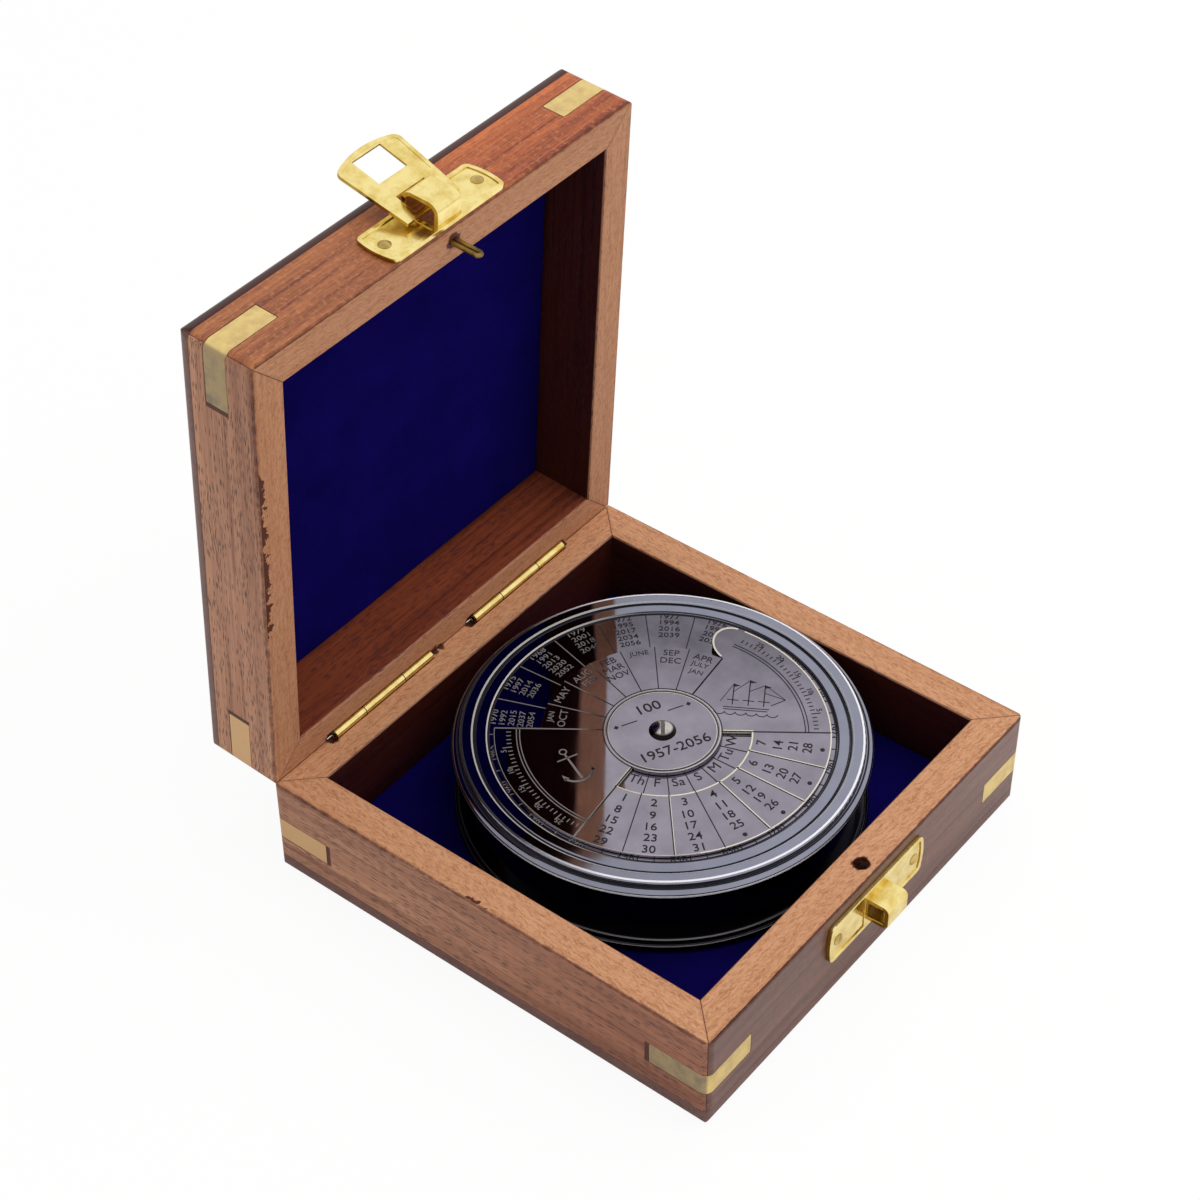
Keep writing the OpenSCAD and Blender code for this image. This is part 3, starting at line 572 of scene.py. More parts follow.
def brass(name, bright, dull, smooth, rough, scratch, left=None, metallic=1):
    """Brass from its bright and dull colours and roughness; scratch stretches the marks.

    left holds the colours of left faces, tarnished and painted in shade: two far from the hinge and one near
    it, where they are painted brighter.
    """
    finish, tree = new_finish(name)
    spot = in_mm(tree)
    cloud = add(tree, "TexNoise", {"Vector": spot, "Scale": 0.35, "Detail": 4, "Roughness": 0.6})
    lines = add(tree, "VectorMath", [spot, scratch], "MULTIPLY")
    marks = add(tree, "TexNoise", {"Vector": lines, "Scale": 1, "Detail": 3, "Roughness": 0.7})
    tarnish = add(tree, "MapRange", {"Value": cloud, "From Min": 0.42, "From Max": 0.68})
    colour = add(tree, "Mix", {"Factor": tarnish, "A": bright, "B": dull}, data_type="RGBA")
    if left:
        at = add(tree, "TexCoord", {})
        side = add(tree, "VectorMath", [at.outputs["Normal"], LEFT], "DOT_PRODUCT")
        faces_left = add(tree, "MapRange", {"Value": side, "From Min": 0.6, "From Max": 0.8})
        left_colour = add(tree, "Mix", {"Factor": tarnish, "A": left[0], "B": left[1]}, data_type="RGBA")
        reach = add(tree, "VectorMath", [spot, HINGE], "DISTANCE")
        # Painted light: left faces near the hinge take a brighter, warmer colour
        near = add(tree, "MapRange", {"Value": reach, "From Min": FAR_OFF, "From Max": NEAR_HINGE})
        left_colour = add(tree, "Mix", {"Factor": near, "A": left_colour, "B": left[2]}, data_type="RGBA")
        colour = add(tree, "Mix", {"Factor": faces_left, "A": colour, "B": left_colour}, data_type="RGBA")
    gloss = add(tree, "MapRange", {"Value": marks, "From Min": 0.3, "From Max": 0.7,
                "To Min": smooth, "To Max": rough})
    bump = add(tree, "Bump", {"Height": marks, "Strength": 0.05, "Distance": 0.02 * MM})
    metal = add(tree, "BsdfPrincipled", {"Base Color": colour, "Metallic": metallic,
                "Roughness": gloss, "Normal": bump})
    add(tree, "OutputMaterial", {"Surface": metal})
    return finish


# Left-face colours: tarnish with painted shade, and a brighter painted light near the hinge
LEFT_TARNISH_AND_SHADE = ("#C09E4A", "#98772F", "#D8BC66")
LEFT_KEY_TARNISH_AND_SHADE = ("#A48E68", "#80725D", "#D0A878")
polished_brass = brass("polished_brass", "#F6E299", "#DFC26A", 0.14, 0.24, (1.2, 3.5, 3.5), LEFT_TARNISH_AND_SHADE)
filed_brass = brass("filed_brass", "#DFC47E", "#C8AA70", 0.4, 0.5, (3, 3, 0.6), LEFT_KEY_TARNISH_AND_SHADE, 0.55)
dull_brass = brass("dull_brass", "#9A8048", "#5E4A26", 0.3, 0.48, (2, 2, 2))
nail_brass = brass("nail_brass", "#D2B66C", "#9C8044", 0.28, 0.4, (2, 2, 2))
# The hinge pins are painted near black, as painted shade in the hinges' open ends
shaded_pin = brass("shaded_pin", "#1E1814", "#0E0A08", 0.4, 0.6, (2, 2, 2))
FITTINGS = {
    "latch_plate": polished_brass, "latch_flap": polished_brass, "keeper_plate": polished_brass,
    "base_hinge_leaves": polished_brass, "lid_hinge_leaves": polished_brass, "hinge_pins": shaded_pin,
    "latch_nails": nail_brass, "keeper_nails": nail_brass, "locating_pin": dull_brass,
    "base_corner_keys": filed_brass, "lid_corner_keys": filed_brass,
}
for node, finish in FITTINGS.items():
    dress(node, finish)
print(len(FITTINGS), "brass fittings finished")

# %% [markdown]
# ## Gun-metal and the dial plates
#
# The compass is turned brass with a dark, polished gun-metal plating. Under the tent it is a grey mirror:
# it shows white where it faces the tent and goes nearly black where it faces the open lid. Fine turning
# rings follow the distance from its axis. The thin turning disc is drawn down a little by its screw, so it
# mirrors like a shallow bowl. Each plating's colour is also painted darker towards the back or the left: a
# painted reflection of the darker surroundings on that side, over a little random mottle.

# %% Gun-metal finishes
lo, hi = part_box("year_disc")
AXIS = (lo + hi) / 2
AXIS.z = 0
IN_PLAN = (1, 1, 0)
SHADE_TO_BACK = ((0.8, 0.6, 0), 4, 30)
SHADE_TO_LEFT = ((-0.6, 0.8, 0), -20, 30)


def gun_metal(name, bright, dull, smooth, rough, rings, shade_toward, hollow=0):
    """Dark plating with turning rings this many to the millimetre.

    The direction argument, with the two places between which it acts, says where the colour is painted
    darker, a painted reflection of darker surroundings; hollow is how strongly the middle is drawn down, in
    1/mm.
    """
    finish, tree = new_finish(name)
    spot = in_mm(tree, AXIS)
    cloud = add(tree, "TexNoise", {"Vector": spot, "Scale": 0.16, "Detail": 4, "Roughness": 0.6})
    flat = add(tree, "VectorMath", [spot, IN_PLAN], "MULTIPLY")
    radius = add(tree, "VectorMath", [flat], "LENGTH")
    turned = add(tree, "TexNoise", {"W": radius, "Scale": rings, "Detail": 2}, noise_dimensions="1D")
    # Painted reflection: the colour darkens towards one side, as if it mirrored darker surroundings there
    back = add(tree, "VectorMath", [spot, shade_toward[0]], "DOT_PRODUCT")
    shade_ramp = add(tree, "MapRange", {"Value": back, "From Min": shade_toward[1], "From Max": shade_toward[2], "To Max": 0.8})
    patch = add(tree, "MapRange", {"Value": cloud, "From Min": 0.35, "From Max": 0.7, "To Max": 0.35})
    mottle_and_shade = add(tree, "Math", [patch, shade_ramp], "ADD")
    colour = add(tree, "Mix", {"Factor": mottle_and_shade, "A": bright, "B": dull}, data_type="RGBA")
    gloss = add(tree, "MapRange", {"Value": cloud, "From Min": 0.3, "From Max": 0.7,
                "To Min": smooth, "To Max": rough})
    square = add(tree, "Math", [radius, 2], "POWER")
    sag = add(tree, "Math", [square, hollow / 2], "MULTIPLY")
    dished = add(tree, "Bump", {"Height": sag, "Strength": 1, "Distance": MM})
    bump = add(tree, "Bump", {"Height": turned, "Strength": 0.03, "Distance": 0.01 * MM, "Normal": dished})
    metal = add(tree, "BsdfPrincipled", {"Base Color": colour, "Metallic": 1,
                "Roughness": gloss, "Normal": bump})
    add(tree, "OutputMaterial", {"Surface": metal})
    return finish


# Each plating is painted darker towards the back or the left, a painted reflection
plated_case = gun_metal("gun_metal_black", "#2B2930", "#1E1C22", 0.14, 0.22, 3, SHADE_TO_BACK)
plated_rim = gun_metal("gun_metal_turned", "#9092A2", "#7A7A88", 0.05, 0.09, 3, SHADE_TO_LEFT)
plated_dial = gun_metal("gun_metal_dial", "#96919D", "#625E67", 0.02, 0.05, 1, SHADE_TO_BACK)
plated_month = gun_metal("gun_metal_sheet", "#96919D", "#625E67", 0.025, 0.06, 1, SHADE_TO_BACK, 1 / 400)
bright_steel = gun_metal("bright_steel", "#C2BFB8", "#9A968F", 0.18, 0.32, 4, SHADE_TO_BACK)
TURNED = {
    "compass_case": plated_case, "glass_ring": plated_case, "calendar_cover": plated_rim,
    "year_disc": plated_dial, "month_disc": plated_month,
    "screw_washer": bright_steel, "screw_nut": bright_steel, "needle_pivot": bright_steel,
}
for node, finish in TURNED.items():
    dress(node, finish)
print("axis of the compass at", [round(c / MM, 2) for c in AXIS])

# %% [markdown]
# The centre screw is bright on its crown only. Its slot and its low rim are painted black as painted shade,
# so the finish darkens by height below the crown.

# %% Finish of the screw's head
BRIGHT_TO = 0.45
BLACK_FROM = 0.75
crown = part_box("centre_screw")[1].z / MM
screw_steel, tree = new_finish("screw_steel")
spot = in_mm(tree)
place = add(tree, "SeparateXYZ", [spot])
grit = add(tree, "TexNoise", {"Vector": spot, "Scale": 1.2, "Detail": 4, "Roughness": 0.65})
bright = add(tree, "Mix", {"Factor": grit, "A": "#E2DDD6", "B": "#8F8884"}, data_type="RGBA")
# Painted shade: black below the crown, in the slot and on the low rim
low = add(tree, "MapRange", {"Value": place.outputs["Z"], "From Min": crown - BRIGHT_TO,
          "From Max": crown - BLACK_FROM})
colour = add(tree, "Mix", {"Factor": low, "A": bright, "B": "#1B1618"}, data_type="RGBA")
gloss = add(tree, "MapRange", {"Value": grit, "To Min": 0.12, "To Max": 0.34})
steel = add(tree, "BsdfPrincipled", {"Base Color": colour, "Metallic": 1, "Roughness": gloss})
add(tree, "OutputMaterial", {"Surface": steel})
dress("centre_screw", screw_steel)
print("crown of the screw at", round(crown, 2), "mm")

# %% [markdown]
# ## Needle, card and glass
#
# Under the cover sits a plain compass: a printed paper card, a steel needle with a painted north half, and
# a pane of clear glass. The needle's two colours come from one position test along its length.

# %% Needle, card and glass finishes
NEEDLE_ANGLE = math.radians(118)
needle_paint, tree = new_finish("needle_lacquer")
spot = in_mm(tree, AXIS)
north = add(tree, "VectorMath", [spot, (math.cos(NEEDLE_ANGLE), math.sin(NEEDLE_ANGLE), 0)], "DOT_PRODUCT")
half = add(tree, "MapRange", {"Value": north, "From Min": -0.05, "From Max": 0.05})
speck = add(tree, "TexNoise", {"Vector": spot, "Scale": 1.5, "Detail": 3})
colour = add(tree, "Mix", {"Factor": half, "A": "#2C3A5C", "B": "#A61E1C"}, data_type="RGBA")
gloss = add(tree, "MapRange", {"Value": speck, "To Min": 0.2, "To Max": 0.4})
paint = add(tree, "BsdfPrincipled", {"Base Color": colour, "Roughness": gloss, "Metallic": 0.3})
add(tree, "OutputMaterial", {"Surface": paint})
dress("compass_needle", needle_paint)
dress("needle_cap", polished_brass)

card_paper, tree = new_finish("printed_card")
spot = in_mm(tree)
speck = add(tree, "TexNoise", {"Vector": spot, "Scale": 0.8, "Detail": 4})
colour = add(tree, "Mix", {"Factor": speck, "A": "#EDE6D2", "B": "#E2D8BE"}, data_type="RGBA")
paper = add(tree, "BsdfPrincipled", {"Base Color": colour, "Roughness": 0.7})
add(tree, "OutputMaterial", {"Surface": paper})
dress("compass_card", card_paper)

clear_glass, tree = new_finish("float_glass")
spot = in_mm(tree)
dust = add(tree, "TexNoise", {"Vector": spot, "Scale": 0.3, "Detail": 3})
gloss = add(tree, "MapRange", {"Value": dust, "To Min": 0, "To Max": 0.04})
pane = add(tree, "BsdfPrincipled", {"Base Color": "#F6FAF8", "Roughness": gloss,
           "IOR": 1.52, "Transmission Weight": 1})
add(tree, "OutputMaterial", {"Surface": pane})
dress("glass", clear_glass)
print("needle, card and glass finished")

# %% [markdown]
# ## Velvet linings
#
# A card pad covered with blue velvet lies on the floor of the box, and another is glued into the lid. The
# cloth is drawn over the pad's edge and turned down, so the border is soft and the middle nearly flat. A
# grid with its border drawn down and rounded makes that, and a Solidify modifier gives it the thickness of
# the pile.

# %% Velvet finish
velvet, tree = new_finish("cotton_velvet")
spot = in_mm(tree)
nap = add(tree, "TexNoise", {"Vector": spot, "Scale": 0.09, "Detail": 3, "Roughness": 0.55})
pile = add(tree, "TexNoise", {"Vector": spot, "Scale": 2.6, "Detail": 2, "Roughness": 0.6})
both = add(tree, "Math", [nap, pile], "ADD")
shade = add(tree, "MapRange", {"Value": both, "From Min": 0.7, "From Max": 1.3})
colour = add(tree, "Mix", {"Factor": shade, "A": "#0C0742", "B": "#120B56"}, data_type="RGBA")
bump = add(tree, "Bump", {"Height": pile, "Strength": 0.3, "Distance": 0.08 * MM})
cloth = add(tree, "BsdfPrincipled", {"Base Color": colour, "Roughness": 0.95, "Specular IOR Level": 0,
            "Sheen Weight": 0.06, "Sheen Roughness": 0.45, "Sheen Tint": "#2A20C8",
            "Normal": bump})
add(tree, "OutputMaterial", {"Surface": cloth})
print("velvet finish")

# %% Lay the velvet
LINING_W = 84.5
PILE_T = 0.5
PAD_EDGE = 0.5
HEM = 0.1
SAG = 0.12
SAGS_PER_M = 45


def velvet_pad(name, node, body, top, thick, place):
    """A velvet cover over a pad whose top is at height top, made flat and then placed."""
    drop = thick - HEM
    bm = bmesh.new()
    bmesh.ops.create_grid(bm, x_segments=36, y_segments=36, size=LINING_W / 2 * MM)
    border = [edge for edge in bm.edges if edge.is_boundary]
    hem = bmesh.ops.extrude_edge_only(bm, edges=border)
    hem_verts = [item for item in hem["geom"] if isinstance(item, bmesh.types.BMVert)]
    bmesh.ops.translate(bm, verts=hem_verts, vec=(0, 0, -drop * MM))
    bmesh.ops.bevel(bm, geom=border, offset=PAD_EDGE * MM, segments=3, profile=0.5, affect="EDGES",
                    material=-1)
    for vert in bm.verts:
        if vert.co.z > -PAD_EDGE * MM:
            vert.co.z += SAG * MM * noise.noise(vert.co * SAGS_PER_M) - SAG * MM
    bmesh.ops.recalc_face_normals(bm, faces=bm.faces)
    bmesh.ops.translate(bm, verts=bm.verts, vec=(0, 0, top * MM))
    bmesh.ops.transform(bm, matrix=place, verts=bm.verts)
    for face in bm.faces:
        face.smooth = True
    cover = make_piece(name, bm, velvet)
    thickness = cover.modifiers.new("pile", "SOLIDIFY")
    thickness.thickness = PILE_T * MM
    thickness.offset = -1
    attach(cover, body)
    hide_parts(node)


BASE_PAD_T = 3.8
BASE_VELVET_TOP = 7.8
LID_PAD_T = 1.2
LID_VELVET_TOP = 35.7
to_hinge = Matrix.Translation(HINGE * MM)
open_lid = to_hinge @ Matrix.Rotation(math.radians(-LID_OPEN), 4, "X") @ to_hinge.inverted()
face_down = Matrix.Translation((0, 0, LID_VELVET_TOP * MM)) @ Matrix.Rotation(math.pi, 4, "X")
velvet_pad("floor_velvet", "base_lining", "box", BASE_VELVET_TOP, BASE_PAD_T,
           Matrix.Identity(4))
velvet_pad("lid_velvet", "lid_lining", "lid", 0, LID_PAD_T, open_lid @ face_down)

# %% [markdown]
# ## Engraving
#
# The dials' figures are etched through the plating, so they stay matte. Their colour is painted paler towards
# the hinge, where the plate mirrors the dark lid, and darker towards the front, where it mirrors the bright
# tent: painted light and shade that follow the plate's reflections. They could be painted with textures, but
# lettering keeps crisp edges as geometry. Words are set with the built-in font, turned into flat meshes,
# drawn to height and placed by a matrix. Lines and rings are short edges spun about the axis. One solidify
# call then gives all of them a hair's body.

# %% Set words
BOLD = 0.006


def words(bm, lines):
    """Adds flat words to a bmesh, each given as text, height, stretch and a matrix for its place."""
    made = []
    for text, height, stretch, place in lines:
        curve = bpy.data.curves.new("word", "FONT")
        curve.body = text
        curve.resolution_u = 3
        curve.offset = BOLD if text[0].isdigit() else 0
        obj = bpy.data.objects.new("word", curve)
        scene.collection.objects.link(obj)
        made.append((obj, curve, height, stretch, place))
    graph = bpy.context.evaluated_depsgraph_get()
    for obj, curve, height, stretch, place in made:
        mesh = bpy.data.meshes.new_from_object(obj.evaluated_get(graph))
        xs = [vert.co.x for vert in mesh.vertices]
        ys = [vert.co.y for vert in mesh.vertices]
        middle = Vector((min(xs) + max(xs), min(ys) + max(ys), 0)) / 2
        scale = height / (max(ys) - min(ys))
        size = Matrix.Diagonal((scale * stretch, scale, scale, 1))
        mesh.transform(place @ size @ Matrix.Translation(-middle))
        bm.from_mesh(mesh)
        bpy.data.objects.remove(obj)
        bpy.data.curves.remove(curve)
        bpy.data.meshes.remove(mesh)
    print(len(lines), "words set")


# %% Draw lines, rings and figures
def polar(angle, radius, lean=0):
    """Place at an angle and radius round the axis; lean -90 has tops outwards, 90 towards the hub."""
    turn = Matrix.Rotation(math.radians(angle), 4, "Z")
    return turn @ Matrix.Translation((radius, 0, 0)) @ Matrix.Rotation(math.radians(lean), 4, "Z")


def strip(bm, length, width, place):
    """A flat strip about its place."""
    size = Matrix.Diagonal((length, width, 1, 1))
    bmesh.ops.create_grid(bm, x_segments=1, y_segments=1, size=0.5, matrix=place @ size)


def spoke(bm, angle, start, end, width):
    """A straight radial line."""
    strip(bm, end - start, width, polar(angle, (start + end) / 2))


def stroke(bm, start, end, width, place):
    """A straight line between two points of a figure."""
    along = Vector(end) - Vector(start)
    turn = Matrix.Rotation(math.atan2(along.y, along.x), 4, "Z")
    middle = Matrix.Translation(((start[0] + end[0]) / 2, (start[1] + end[1]) / 2, 0))
    strip(bm, along.length, width, place @ middle @ turn)


def sweep(bm, profile, start=0, end=360):
    """A ring, or an arc between two angles, from a profile of radii and heights."""
    full = end - start == 360
    verts = [bm.verts.new((radius, 0, height)) for radius, height in profile]
    edges = [bm.edges.new(pair) for pair in zip(verts, verts[1:])]
    bmesh.ops.rotate(bm, verts=verts, cent=(0, 0, 0), matrix=Matrix.Rotation(math.radians(start), 3, "Z"))
    bmesh.ops.spin(bm, geom=verts + edges, cent=(0, 0, 0), axis=(0, 0, 1), angle=math.radians(end - start),
                   steps=max(4, round((end - start) / 3)), use_merge=full)


def ring(bm, radius, width, start=0, end=360):
    """A flat ring or arc about the axis."""
    sweep(bm, [(radius - width / 2, 0), (radius + width / 2, 0)], start, end)


def ring_at(bm, place, radius, width, start=0, end=360):
    """A flat ring or arc about another place."""
    part = bmesh.new()
    ring(part, radius, width, start, end)
    bmesh.ops.transform(part, matrix=place, verts=part.verts)
    mesh = bpy.data.meshes.new("ring")
    part.to_mesh(mesh)
    part.free()
    bm.from_mesh(mesh)
    bpy.data.meshes.remove(mesh)


def figure(bm, points, place, line=0):
    """A flat figure from the few points of its outline; a line width leaves only its border."""
    face = bm.faces.new([bm.verts.new(place @ Vector((x, y, 0))) for x, y in points])
    if line:
        bmesh.ops.inset_individual(bm, faces=[face], thickness=line)
        bmesh.ops.delete(bm, geom=[face], context="FACES_ONLY")


# %% Give the marks a body
MARK_T = 0.04
OUTWARD_SHARE = 0.7


def engrave(bm, name, plate_top, body, finish):
    """Turns flat marks in millimetres round the axis into a thin piece on a plate."""
    bm.normal_update()
    turned_in = []
    for face in bm.faces:
        out = face.calc_center_median()
        out.z = 0
        if face.normal.dot(out.normalized() * OUTWARD_SHARE + Vector((0, 0, 1))) < 0:
            turned_in.append(face)
    bmesh.ops.reverse_faces(bm, faces=turned_in)
    bmesh.ops.solidify(bm, geom=bm.faces[:], thickness=-MARK_T)
    bmesh.ops.scale(bm, vec=(MM, MM, MM), verts=bm.verts)
    bmesh.ops.translate(bm, vec=(AXIS.x, AXIS.y, plate_top), verts=bm.verts)
    piece = make_piece(name, bm, finish)
    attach(piece, body)
    piece.data.calc_loop_triangles()
    print(name, len(piece.data.loop_triangles), "triangles")


print("marks stand", MARK_T, "mm proud")

# %% Matte finishes of the marks
TO_HINGE = (-0.6, 0.8, 0)
GRIT_REACH = 4


# Most uses of this finish paint highlights or shade, with one colour on each side of the dial
def matte(name, colour_toward, colour_away, start, end, toward=TO_HINGE):
    """An unpolished surface: one colour before the distance start in a direction from the axis, another past
    end.
    """
    finish, tree = new_finish(name)
    spot = in_mm(tree, AXIS)
    grit = add(tree, "TexNoise", {"Vector": spot, "Scale": 1.4, "Detail": 4, "Roughness": 0.7})
    back = add(tree, "VectorMath", [spot, toward], "DOT_PRODUCT")
    uneven = add(tree, "Math", [grit, GRIT_REACH, back], "MULTIPLY_ADD")
    toward_share = add(tree, "MapRange", {"Value": uneven, "From Min": start, "From Max": end})
    colour = add(tree, "Mix", {"Factor": toward_share, "A": colour_away, "B": colour_toward}, data_type="RGBA")
    gloss = add(tree, "MapRange", {"Value": grit, "To Min": 0.6, "To Max": 0.9})
    skin = add(tree, "BsdfPrincipled", {"Base Color": colour, "Roughness": gloss})
    add(tree, "OutputMaterial", {"Surface": skin})
    return finish


# Painted light and shade: the figures are paler towards the hinge and darker towards the front
etched = matte("etched_metal", "#726C69", "#131116", 14, 17.5)
ink = matte("printing_ink", "#2A2624", "#161312", -30, 30)
print("finishes", etched.name, "and", ink.name)

# %% [markdown]
# ## Years and weekdays on the fixed disc
#
# The fixed disc has 21 columns, three weeks round the dial. A year's key is the number of days by which it
# shifts the week, so years with the same key share a column, and the key falls by one from a column to the
# next clockwise. Below them the seven weekday letters repeat three times. All years come from that rule and
# not from a table.

# %% Engrave the year disc
COLUMNS = 21
COLUMN = 360 / COLUMNS
MONTHS_START = 126.7
DATES_START = 186.7
YEAR_SHIFT = 2
DAY_SHIFT = 0.5
YEARS = range(1957, 2057)
FIRST_KEY = 4
YEAR_ROWS = [31.8, 30.1, 28.35, 26.6, 24.85]
YEAR_H = 1.25
YEAR_STRETCH = 1.2
YEAR_LINES = (22, 32.4)
WEEK = ["S", "M", "Tu", "W", "Th", "F", "Sa"]
DAY_R = 12.9
DAY_H = 2
DAY_LINES = (10.6, 16.8)
LINE = 0.2

by_key = {key: [] for key in range(7)}
for year in YEARS:
    by_key[(year + year // 4 - year // 100 + year // 400) % 7].append(year)
lines = []
bm = bmesh.new()
for column in range(COLUMNS):
    key = (FIRST_KEY - column) % 7
    angle = MONTHS_START + YEAR_SHIFT - (column + 0.5) * COLUMN
    for year, radius in zip(by_key[key][2 - column // 7::3], YEAR_ROWS):
        lines.append((str(year), YEAR_H, YEAR_STRETCH, polar(angle, radius, -90)))
    spoke(bm, angle + COLUMN / 2, *YEAR_LINES, LINE)
    day = DATES_START + DAY_SHIFT + (column + 0.5) * COLUMN
    lines.append((WEEK[(FIRST_KEY + column) % 7], DAY_H, 1, polar(day, DAY_R, 90)))
    spoke(bm, day - COLUMN / 2, *DAY_LINES, LINE)
words(bm, lines)
year_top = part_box("year_disc")[1].z
engrave(bm, "year_figures", year_top, "cover", etched)

# %% [markdown]
# ## Months and dates on the turning disc
#
# The turning disc groups the months whose first day falls alike, with a second January and February for
# leap years. Opposite lie the dates in seven columns, read with their tops to the hub. Between the two
# fields are two plain ones: they carry a graduated band and a traditional figure, an anchor and a sailing
# ship.

# %% Engrave months and dates
MONTHS = [["JAN", "OCT"], ["MAY"], ["AUG", "FEB"], ["FEB", "MAR", "NOV"], ["JUNE"], ["SEP", "DEC"],
          ["APR", "JULY", "JAN"]]
MONTH_ROWS = [21.0, 18.9, 16.8]
MONTH_H = 1.5
DATES = 31
DATE_ROWS = [18.5, 21.6, 24.4, 27.1, 29.9]
DATE_H = 1.8
DATE_STRETCH = 1.05
DOT_R = 0.45
HUB_R = 11.1
HUB_GAP = 0.7
WINDOW_R = 22.6
DAY_WINDOW_R = 16.5
PLATE_R = 31.3
BORDER = LINE * 1.4
dates_end = DATES_START + 7 * COLUMN
months_end = MONTHS_START - 7 * COLUMN
lines = []
bm = bmesh.new()
for column, names in enumerate(MONTHS):
    angle = MONTHS_START - (column + 0.5) * COLUMN
    for name, radius in zip(names, MONTH_ROWS):
        lines.append((name, MONTH_H, 1, polar(angle, radius, -90)))
    spoke(bm, angle - COLUMN / 2, HUB_R, WINDOW_R, LINE)
for place in range(7 * len(DATE_ROWS)):
    row, column = divmod(place, 7)
    angle = DATES_START + (column + 0.5) * COLUMN
    if place < DATES:
        lines.append((str(place + 1), DATE_H, DATE_STRETCH, polar(angle, DATE_ROWS[row], 90)))
    else:
        bmesh.ops.create_circle(bm, cap_ends=True, radius=DOT_R, segments=12,
                                matrix=polar(angle, DATE_ROWS[row]))
    if row == 0 and column > 0:
        spoke(bm, angle - COLUMN / 2, DAY_WINDOW_R, PLATE_R, LINE)
for angle in (MONTHS_START, DATES_START, dates_end):
    spoke(bm, angle, HUB_R, PLATE_R, BORDER)
spoke(bm, months_end, HUB_R, WINDOW_R, BORDER)
ring(bm, HUB_R, LINE)
ring(bm, HUB_R - HUB_GAP, LINE)
print(len(lines), "months and dates")

# %% Graduated bands and the hub
FIELD = 3.5 * COLUMN
BAND_RINGS = (26.6, 27.2)
TICKS = 30
TICK_R = 28.2
LONG_TICK_R = 30
SHORT_TICK_R = 29.1
TICK_H = 1.1
HUB_H = 2.3
HUB_TURN = math.radians(-27)
HUB_LINE = [(3.2, 4.3), (6.4, 4.3)]
LOZENGE = [(7, 4.3), (7.5, 4.8), (8, 4.3), (7.5, 3.8)]
for start in (MONTHS_START, dates_end):
    for radius in BAND_RINGS:
        ring(bm, radius, LINE, start, start + FIELD)
    for tick in range(1, TICKS):
        long = tick % 5 == 0
        spoke(bm, start + FIELD * tick / TICKS, TICK_R, LONG_TICK_R if long else SHORT_TICK_R, LINE)
        if long:
            beside = start + FIELD * (tick + 0.8) / TICKS
            lines.append((str(tick), TICK_H, 1, polar(beside, LONG_TICK_R - 0.1, -90)))
hub = Matrix.Rotation(HUB_TURN, 4, "Z")
lines.append((f"{YEARS[0]}-{YEARS[-1]}", HUB_H, 1.05, hub @ Matrix.Translation((0.4, -5, 0))))
lines.append((str(len(YEARS)), HUB_H, 1.1, hub @ Matrix.Translation((0.4, 6.6, 0))))
for side in (-1, 1):
    stroke(bm, *[(side * x, y) for x, y in HUB_LINE], LINE, hub)
    figure(bm, [(side * x, y) for x, y in LOZENGE], hub)
words(bm, lines)

# %% Anchor
ANCHOR_R = 18.9
SHANK = [(-0.26, -3.6), (0.26, -3.6), (0.18, 3.2), (-0.18, 3.2)]
STOCK = [(-2.1, 2.1), (2.1, 2.1), (2.1, 2.38), (-2.1, 2.38)]
FLUKE = [(2.1, -2.5), (3.15, -2.7), (3.0, -1.2)]
ARMS = (3.2, 0.45, 205, 335)
EYE = (0.65, 0.25)
anchor = polar(MONTHS_START + FIELD / 2, ANCHOR_R, 180)
for points in (SHANK, STOCK, FLUKE, [(-x, y) for x, y in FLUKE]):
    figure(bm, points, anchor)
ring_at(bm, anchor @ Matrix.Translation((0, -0.9, 0)), *ARMS)
ring_at(bm, anchor @ Matrix.Translation((0, 4, 0)), *EYE)
print("anchor drawn")

# %% Ship
FINE = 0.16
HULL = [(-5.4, -1.7), (-4.5, -4.3), (3.6, -4.3), (5.2, -1.6), (3.2, -2.4), (-3.4, -2.4)]
STRAKES = [((-4.6, -3.1), (4.1, -3.1)), ((-4.5, -3.7), (3.8, -3.7)), ((4.4, -2), (7, -0.2))]
MASTS = [(-2.9, 3.2), (0.1, 4.4), (3, 3.3)]
STAYS = [(MASTS[0], (-5.2, -1.7)), (MASTS[1], (-2.9, 1)), (MASTS[2], (0.1, 1.4)), (MASTS[2], (7, -0.2)),
         ((3, 1.2), (7, -0.2))]
MONTH_DISC_T = 0.45
SHIP_R = 18.6
SHIP_LEAN = -35
WAVES = 6
WAVE = (1.1, FINE, 200, 340)
ship = polar(dates_end + FIELD / 2, SHIP_R, SHIP_LEAN)
figure(bm, HULL, ship, FINE)
for start, end in STRAKES:
    stroke(bm, start, end, FINE, ship)
for x, top in MASTS:
    stroke(bm, (x, -2.4), (x, top), FINE * 1.4, ship)
    figure(bm, [(x - 1.3, -1.9), (x + 1.2, -2.05), (x + 1.05, 0.2), (x - 1.05, 0.25)], ship, FINE)
    figure(bm, [(x - 1, 0.6), (x + 0.95, 0.5), (x + 0.75, top - 1.3), (x - 0.8, top - 1.2)], ship, FINE)
    stroke(bm, (x - 1.1, -1.1), (x + 1.1, -1.2), FINE, ship)
    figure(bm, [(x, top - 0.8), (x + 1.2, top - 0.45), (x, top)], ship)
for start, end in STAYS:
    stroke(bm, start, end, FINE * 0.7, ship)
for wave in range(WAVES):
    ring_at(bm, ship @ Matrix.Translation((wave * 2 - 5.2, -4, 0)), *WAVE)
month_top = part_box("month_disc")[0].z + MONTH_DISC_T * MM
engrave(bm, "month_figures", month_top, "month_disc", etched)
